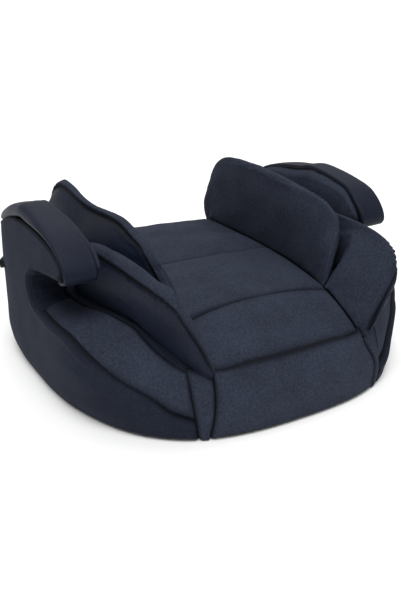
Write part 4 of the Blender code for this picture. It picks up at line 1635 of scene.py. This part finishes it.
@dataclass
class Wing:
    """A padded flap: two faces from its foot to a welted rim, whose ends come down to the seat."""

    shape: SeatShape
    name: str
    node: str
    body: str
    cloth: Cloth
    rim_in: list
    rim_out: list
    foot_in: list
    foot_out: list
    inner_swell: float
    outer_swell: float
    bend_start: tuple[float, float, float]
    bend_end: tuple[float, float, float]
    corner: float
    pucker: float = 3.4
    pressure: float = 4.0
    most_fill: float = 2.5
    seed: int = 21
    count_in: int = 60
    count_out: int = 36
    foot_depth: float = 4.0
    full_height: float = 45.0
    notch: float = 3.0

    def rings(self) -> tuple[Array, Array]:
        """The wing's cross-sections from one end to the other.

        Returns:
            Rings of points, and the fold shade of each point.
        """
        knots = [smooth(line, 8) for line in (self.rim_in, self.rim_out, self.foot_in, self.foot_out)]
        shares = spaced(float(travelled(knots[0])[-1]), STEP, 14.0, 1.0)
        at = travelled(knots[0]) / travelled(knots[0])[-1]
        rim_in, rim_out, foot_in, foot_out = (
            np.stack([np.interp(shares, at, line[:, k]) for k in range(3)], axis=1) for line in knots
        )
        for foot in (foot_in, foot_out):
            foot[:, 2] = self.shape.top(foot[:, 0], foot[:, 1]) - self.foot_depth
        way = np.gradient((rim_in + rim_out) / 2, axis=0)
        way /= np.linalg.norm(way, axis=1, keepdims=True)
        across = rim_out - rim_in
        across /= np.linalg.norm(across, axis=1, keepdims=True)
        out = np.cross(way, across)
        out *= np.sign((out * (rim_in - foot_in)).sum(axis=1, keepdims=True))
        height = np.linalg.norm(rim_in - foot_in, axis=1)
        full = np.clip(height / self.full_height, 0.0, 1.0)[:, None]
        length = travelled(rim_in)
        creases = self.pucker * np.sin(length * 0.95) * bell(length, self.corner * length[-1], 17.0)
        creases += 0.3 * self.pucker * waves(rim_in, 14.0, self.seed)
        sections = []
        for a, b, c, d, n, x, k in zip(rim_in, rim_out, foot_in, foot_out, out, across, full):
            wide = float(np.linalg.norm(b - a))
            round_off = min(5.0, wide * 0.35)
            inner = smooth(
                [
                    c,
                    c + (a - c) * 0.3 - x * self.inner_swell * 0.7 * k,
                    c + (a - c) * 0.62 - x * self.inner_swell * k,
                    c + (a - c) * 0.86 - x * self.inner_swell * 0.6 * k,
                    a - n * round_off * 0.6 - x * self.inner_swell * 0.15 * k,
                    a + x * round_off * 0.5 + n * 0.6,
                    a + (b - a) * 0.5 + n * 1.8 * k,
                    b - x * 1.2 + n * 0.5,
                ],
                10,
            )
            outer = smooth(
                [
                    b + x * 0.6 - n * 1.6,
                    b + (d - b) * 0.14 + x * self.outer_swell * 0.85 * k,
                    b + (d - b) * 0.38 + x * self.outer_swell * k,
                    b + (d - b) * 0.7 + x * self.outer_swell * 0.7 * k,
                    d,
                ],
                10,
            )
            sections.append((inner, outer))
        lines, folds = [], []
        s_in = 1 - (1 - np.linspace(0, 1, self.count_in)) ** 1.5
        s_out = np.linspace(0, 1, self.count_out) ** 1.5
        for i, (inner, outer) in enumerate(sections):
            run_in, run_out = resample(inner, s_in), resample(outer, s_out)
            d_in = (1 - s_in) * travelled(inner)[-1]
            d_out = s_out * travelled(outer)[-1]
            deep = float(full[i, 0]) * self.notch
            notch_in = deep * np.exp(-((d_in / 1.5) ** 2)) - 0.7 * bell(d_in, 3.6, 1.8)
            notch_out = deep * np.exp(-((d_out / 1.5) ** 2)) - 0.5 * bell(d_out, 3.6, 1.8)
            crease_in = creases[i] * np.exp(-d_in / 9.0) * (1 - np.exp(-d_in / 1.5))
            crease_out = creases[i] * np.exp(-d_out / 14.0) * (1 - np.exp(-d_out / 1.5))
            run_in += out[i] * (crease_in - notch_in)[:, None]
            run_out += (across[i] * crease_out[:, None]) - (across[i] + out[i]) * 0.6 * notch_out[:, None]
            lines.append(np.vstack([run_in, run_out]))
            folds.append(np.exp(-((np.concatenate([d_in, d_out]) / WING_FOLD_WIDTH) ** FOLD_FALL)))
        grid = np.array(lines)
        soft = 0.5 * waves(grid, 46.0, self.seed + 1)
        grid[..., 0] += soft * np.clip((grid[..., 2] - self.shape.deck) / 20, 0, 1)
        return grid, np.array(folds)

    def build(self, shop: Workshop, side: Side) -> bpy.types.Object:
        """Builds the wing on one side and fills it out.

        Args:
            shop: What makes the pieces.
            side: The half.

        Returns:
            The piece.
        """
        rings, folds = self.rings()
        label = side.label
        second = (Cloth.SATIN, self.count_in)
        made = shop.tube(f"{self.name}_{label}", rings, folds, self.cloth, side, outer=second)
        shop.inflate(made, self.pressure, self.most_fill)
        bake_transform(made)
        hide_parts(self.node.format(side=label))
        return made


def rear_wing(shape: SeatShape, side: Side) -> Wing:
    """The tall wing beside the hips; the left one has slumped a little.

    Args:
        shape: The seat's shape.
        side: The half it is on.

    Returns:
        The wing.
    """
    wing = Wing(
        shape,
        "hip_wing",
        "rear_wing_{side}",
        "rear_wing_{side}_pad",
        Cloth.CHARCOAL,
        rim_in=[
            (132, 211, 105),
            (129, 206, 135),
            (127, 194, 166),
            (126, 176, 195),
            (125, 151, 211),
            (125, 120, 216),
            (125, 54, 215),
            (125, -24, 207),
            (126, -72, 199),
            (127, -95, 190),
            (126, -104, 174),
            (120, -110, 156),
            (110, -115, 133),
            (104, -117, 118),
            (98, -117, 105),
        ],
        rim_out=[
            (138, 210, 105),
            (136, 203, 133),
            (134, 190, 162),
            (133, 172, 190),
            (132, 149, 204),
            (132, 119, 209),
            (132, 54, 208),
            (132, -24, 200),
            (133, -66, 192),
            (134, -87, 182),
            (134, -96, 169),
            (130, -102, 155),
            (118, -109, 131),
            (112, -112, 117),
            (105, -114, 105),
        ],
        foot_in=[
            (133, 210, 0),
            (133, 205, 0),
            (133, 194, 0),
            (133, 176, 0),
            (132.5, 152, 0),
            (132, 120, 0),
            (129, 54, 0),
            (120, -24, 0),
            (111, -66, 0),
            (107, -84, 0),
            (104, -96, 0),
            (101, -104, 0),
            (99.5, -110, 0),
            (99, -113, 0),
            (98, -116, 0),
        ],
        foot_out=[
            (140, 209, 0),
            (144, 203, 0),
            (149, 191, 0),
            (153, 172, 0),
            (155, 148, 0),
            (155, 118, 0),
            (153, 54, 0),
            (145, -24, 0),
            (137, -62, 0),
            (132, -80, 0),
            (128, -91, 0),
            (121, -99, 0),
            (114, -106, 0),
            (110, -109, 0),
            (105, -113, 0),
        ],
        inner_swell=7.0,
        outer_swell=13.0,
        bend_start=(130.0, 50.0, 106.0),
        bend_end=(130.0, 50.0, 134.0),
        corner=0.73,
    )
    if side is Side.RIGHT:
        return wing
    rims = []
    for rim in (wing.rim_in, wing.rim_out):
        slumped = [(x, y, z - 15 * float(bell(y, 62, 62)) - 3 * float(bell(y, -50, 30))) for x, y, z in rim]
        back = [(x, y - 9 * float(ease(y, 110, 200)), z) for x, y, z in slumped]
        rims.append([(x - 8 * float(bell(z, 158, 24)) * (y < -80), y, z) for x, y, z in back])
    return replace(wing, rim_in=rims[0], rim_out=rims[1])


def front_wing(shape: SeatShape, side: Side) -> Wing:
    """The wedge-shaped wing beside the thighs, from a point at the front corner to a tail beside the arm.

    Args:
        shape: The seat's shape.
        side: The half it is on; the left one's front corner is sharper.

    Returns:
        The wing.
    """
    wing = Wing(
        shape,
        "thigh_wing",
        "front_wing_{side}",
        "front_wing_{side}_pad",
        Cloth.CHARCOAL,
        rim_in=[
            (101, -190, 76),
            (110, -190, 92),
            (123, -190, 113),
            (135, -189, 132),
            (143, -186, 148),
            (147, -175, 162),
            (149, -155, 172),
            (150, -130, 176),
            (151, -100, 178),
            (152, -66, 178),
            (154, -24, 175),
            (157, 4, 166),
            (159, 18, 142),
            (160, 22, 112),
        ],
        rim_out=[
            (104, -194, 76),
            (111, -194, 90),
            (122, -194, 108),
            (135, -193, 127),
            (145, -190, 142),
            (151, -176, 153),
            (154, -155, 160),
            (156, -130, 162),
            (158, -98, 164),
            (160, -66, 165),
            (163, -28, 164),
            (165, -2, 157),
            (166, 12, 138),
            (166, 18, 112),
        ],
        foot_in=[
            (101, -189, 0),
            (101, -184, 0),
            (100, -176, 0),
            (100, -165, 0),
            (99, -150, 0),
            (99, -138, 0),
            (99, -128, 0),
            (100, -119, 0),
            (132, -103, 0),
            (146, -72, 0),
            (152, -40, 0),
            (157, -4, 0),
            (159, 11, 0),
            (160, 19, 0),
        ],
        foot_out=[
            (104, -191, 0),
            (108, -187, 0),
            (114, -179, 0),
            (121, -170, 0),
            (129, -157, 0),
            (135, -145, 0),
            (140, -133, 0),
            (144, -120, 0),
            (148, -98, 0),
            (153, -68, 0),
            (159, -38, 0),
            (163, -6, 0),
            (165, 8, 0),
            (166, 16, 0),
        ],
        inner_swell=4.0,
        outer_swell=9.0,
        bend_start=(130.0, -150.0, 88.0),
        bend_end=(130.0, -161.5, 115.5),
        corner=0.3,
        seed=31,
    )
    if side is Side.RIGHT:
        return wing
    inner = [(101, -190, 75), (108, -190, 97), (117, -190, 120)]
    inner += [(127, -189, 140), (137, -188, 156), (144, -184, 168)]
    outer = [(104, -195, 76), (112, -194, 93), (120, -193, 108)]
    outer += [(129, -193, 123), (137, -193, 137), (145, -190, 150)]
    kept = len(inner)
    return replace(wing, rim_in=inner + wing.rim_in[kept:], rim_out=outer + wing.rim_out[kept:], corner=0.34)


@dataclass
class Base:
    """What the cover goes over: tray, arm cores, screws, feet and wing boards, and the elastic hem."""

    shape: SeatShape
    hem_in: float = 11.0
    hem_half: float = 5.0
    hem_z: float = 2.4
    hem_steps: int = 900
    hem_sides: int = 12
    gathers: int = 150

    def build(self, shop: Workshop, nodes: dict[str, bpy.types.Object]) -> list[bpy.types.Object]:
        """Finishes the carried-over nodes and builds the hem.

        Args:
            shop: What makes the pieces.
            nodes: The frame's nodes by name.

        Returns:
            The pieces.
        """
        finishes = {
            "base_tray": Cloth.PLASTIC,
            "arm_core": Cloth.PLASTIC,
            "foot": Cloth.RUBBER,
            "arm_screw": Cloth.STEEL,
            "wing_board": Cloth.BOARD,
        }
        dressed = []
        for start, cloth in finishes.items():
            for name, node in nodes.items():
                if name.startswith(start):
                    shop.dress(node, cloth)
                    dressed.append(node)
        arc = np.linspace(0, 2 * self.shape.rear_middle, self.hem_steps, endpoint=False)
        line = self.shape.wall(arc, np.full(arc.shape, self.shape.cover_low))
        centre = line[:, :2] * (1 - self.hem_in / np.linalg.norm(line[:, :2], axis=1, keepdims=True))
        away = centre / np.linalg.norm(centre, axis=1, keepdims=True)
        ripple = np.sin(arc / arc[-1] * math.tau * self.gathers)
        rings = []
        for turn in np.linspace(0, math.tau, self.hem_sides, endpoint=False):
            sideways = self.hem_half * math.cos(turn)
            high = self.hem_z + (0.75 + 0.25 * ripple) * math.sin(turn) + 0.25 * ripple
            rings.append(np.column_stack([centre + away * sideways, high]))
        flat = np.zeros((self.hem_steps, self.hem_sides))
        hem = shop.tube("elastic_hem", np.stack(rings, axis=1), flat, Cloth.ELASTIC, joined=True)
        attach(hem, "seat")
        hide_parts("cover_hem")
        return dressed + [hem]


@dataclass
class Studio:
    """A pale floor, soft light from large panels and a camera."""

    eye: tuple[float, float, float] = (-467.3, -782.3, 433.8)
    azimuth: float = 30.64
    elevation: float = 22.0
    lens: float = 45.73
    sensor: float = 36.0
    sky_strength: float = 0.45
    floor_half: float = 200.0

    def build(self) -> None:
        """Builds the floor, the lights, the sky and the camera."""
        scene = bpy.context.scene
        scene.view_settings.view_transform = "Standard"
        self.floor()
        self.sky(scene)
        self.sun("key_sun", (-0.4, -0.7, 1.6), 2.3, 40.0)
        self.sun("rim_sun", (0.3, 0.8, 1.4), 0.7, 60.0)
        data = bpy.data.cameras.new("camera")
        data.lens = self.lens
        data.sensor_width = self.sensor
        data.clip_start = 0.01
        camera = bpy.data.objects.new("camera", data)
        scene.collection.objects.link(camera)
        turn, tilt = math.radians(self.azimuth), math.radians(self.elevation)
        look = Vector((math.sin(turn) * math.cos(tilt), math.cos(turn) * math.cos(tilt), -math.sin(tilt)))
        camera.location = Vector(self.eye) * MM
        camera.rotation_euler = look.to_track_quat("-Z", "Y").to_euler()
        scene.camera = camera

    def floor(self) -> None:
        """A wide matt floor of pale painted board."""
        material, tree, shader = principled("pale_painted_floor")
        place = add_node(tree, "ShaderNodeTexCoord")
        cloud = add_node(tree, "ShaderNodeTexNoise", {"Scale": 3.0}, {"Vector": place.outputs["Object"]})
        tone = add_node(
            tree,
            "ShaderNodeMix",
            {"data_type": "RGBA", 6: linear("#fafafa"), 7: linear("#ffffff")},
            {0: cloud.outputs[0]},
        )
        tree.links.new(tone.outputs[2], shader.inputs["Base Color"])
        shader.inputs["Roughness"].default_value = 0.9
        half = self.floor_half
        corners = [(-half, -half, 0), (half, -half, 0), (half, half, 0), (-half, half, 0)]
        mesh = bpy.data.meshes.new("floor")
        mesh.from_pydata(corners, [], [(0, 1, 2, 3)])
        mesh.materials.append(material)
        floor = bpy.data.objects.new("floor", mesh)
        bpy.context.scene.collection.objects.link(floor)
        floor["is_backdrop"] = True

    def sky(self, scene: bpy.types.Scene) -> None:
        """An even white surround.

        Args:
            scene: The scene that it is set in.
        """
        world = bpy.data.worlds.new("studio")
        world.use_nodes = True
        background = world.node_tree.nodes["Background"]
        background.inputs["Color"].default_value = linear("#ffffff")
        background.inputs["Strength"].default_value = self.sky_strength
        scene.world = world

    def sun(self, name: str, place: tuple[float, float, float], strength: float, spread: float) -> None:
        """A distant soft light.

        Args:
            name: The light's name.
            place: The direction that it comes from.
            strength: Its strength.
            spread: How wide it is, in degrees.
        """
        data = bpy.data.lights.new(name, "SUN")
        data.energy = strength
        data.angle = math.radians(spread)
        light = bpy.data.objects.new(name, data)
        bpy.context.scene.collection.objects.link(light)
        light.rotation_euler = (-Vector(place)).to_track_quat("-Z", "Y").to_euler()


def main() -> None:
    """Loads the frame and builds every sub-assembly in order."""
    logging.basicConfig(level=logging.INFO, format="%(message)s")
    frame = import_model()
    shape = SeatShape.from_frame()
    shop = Workshop(make_finishes())
    made = Base(shape).build(shop, frame["nodes"])
    made += SeatCushion(shape).build(shop)
    made += WallPanels(shape).build(shop)
    for side in Side:
        made += SideCover(shape).build(shop, side)
        made += Arm(shape).build(shop, side)
        made.append(rear_wing(shape, side).build(shop, side))
        made.append(front_wing(shape, side).build(shop, side))
    for piece in made:
        LOG.info("%s: %d faces, %s", piece.name, len(piece.data.polygons), piece.data.materials[0].name)
    Studio().build()


if __name__ == "__main__":
    main()
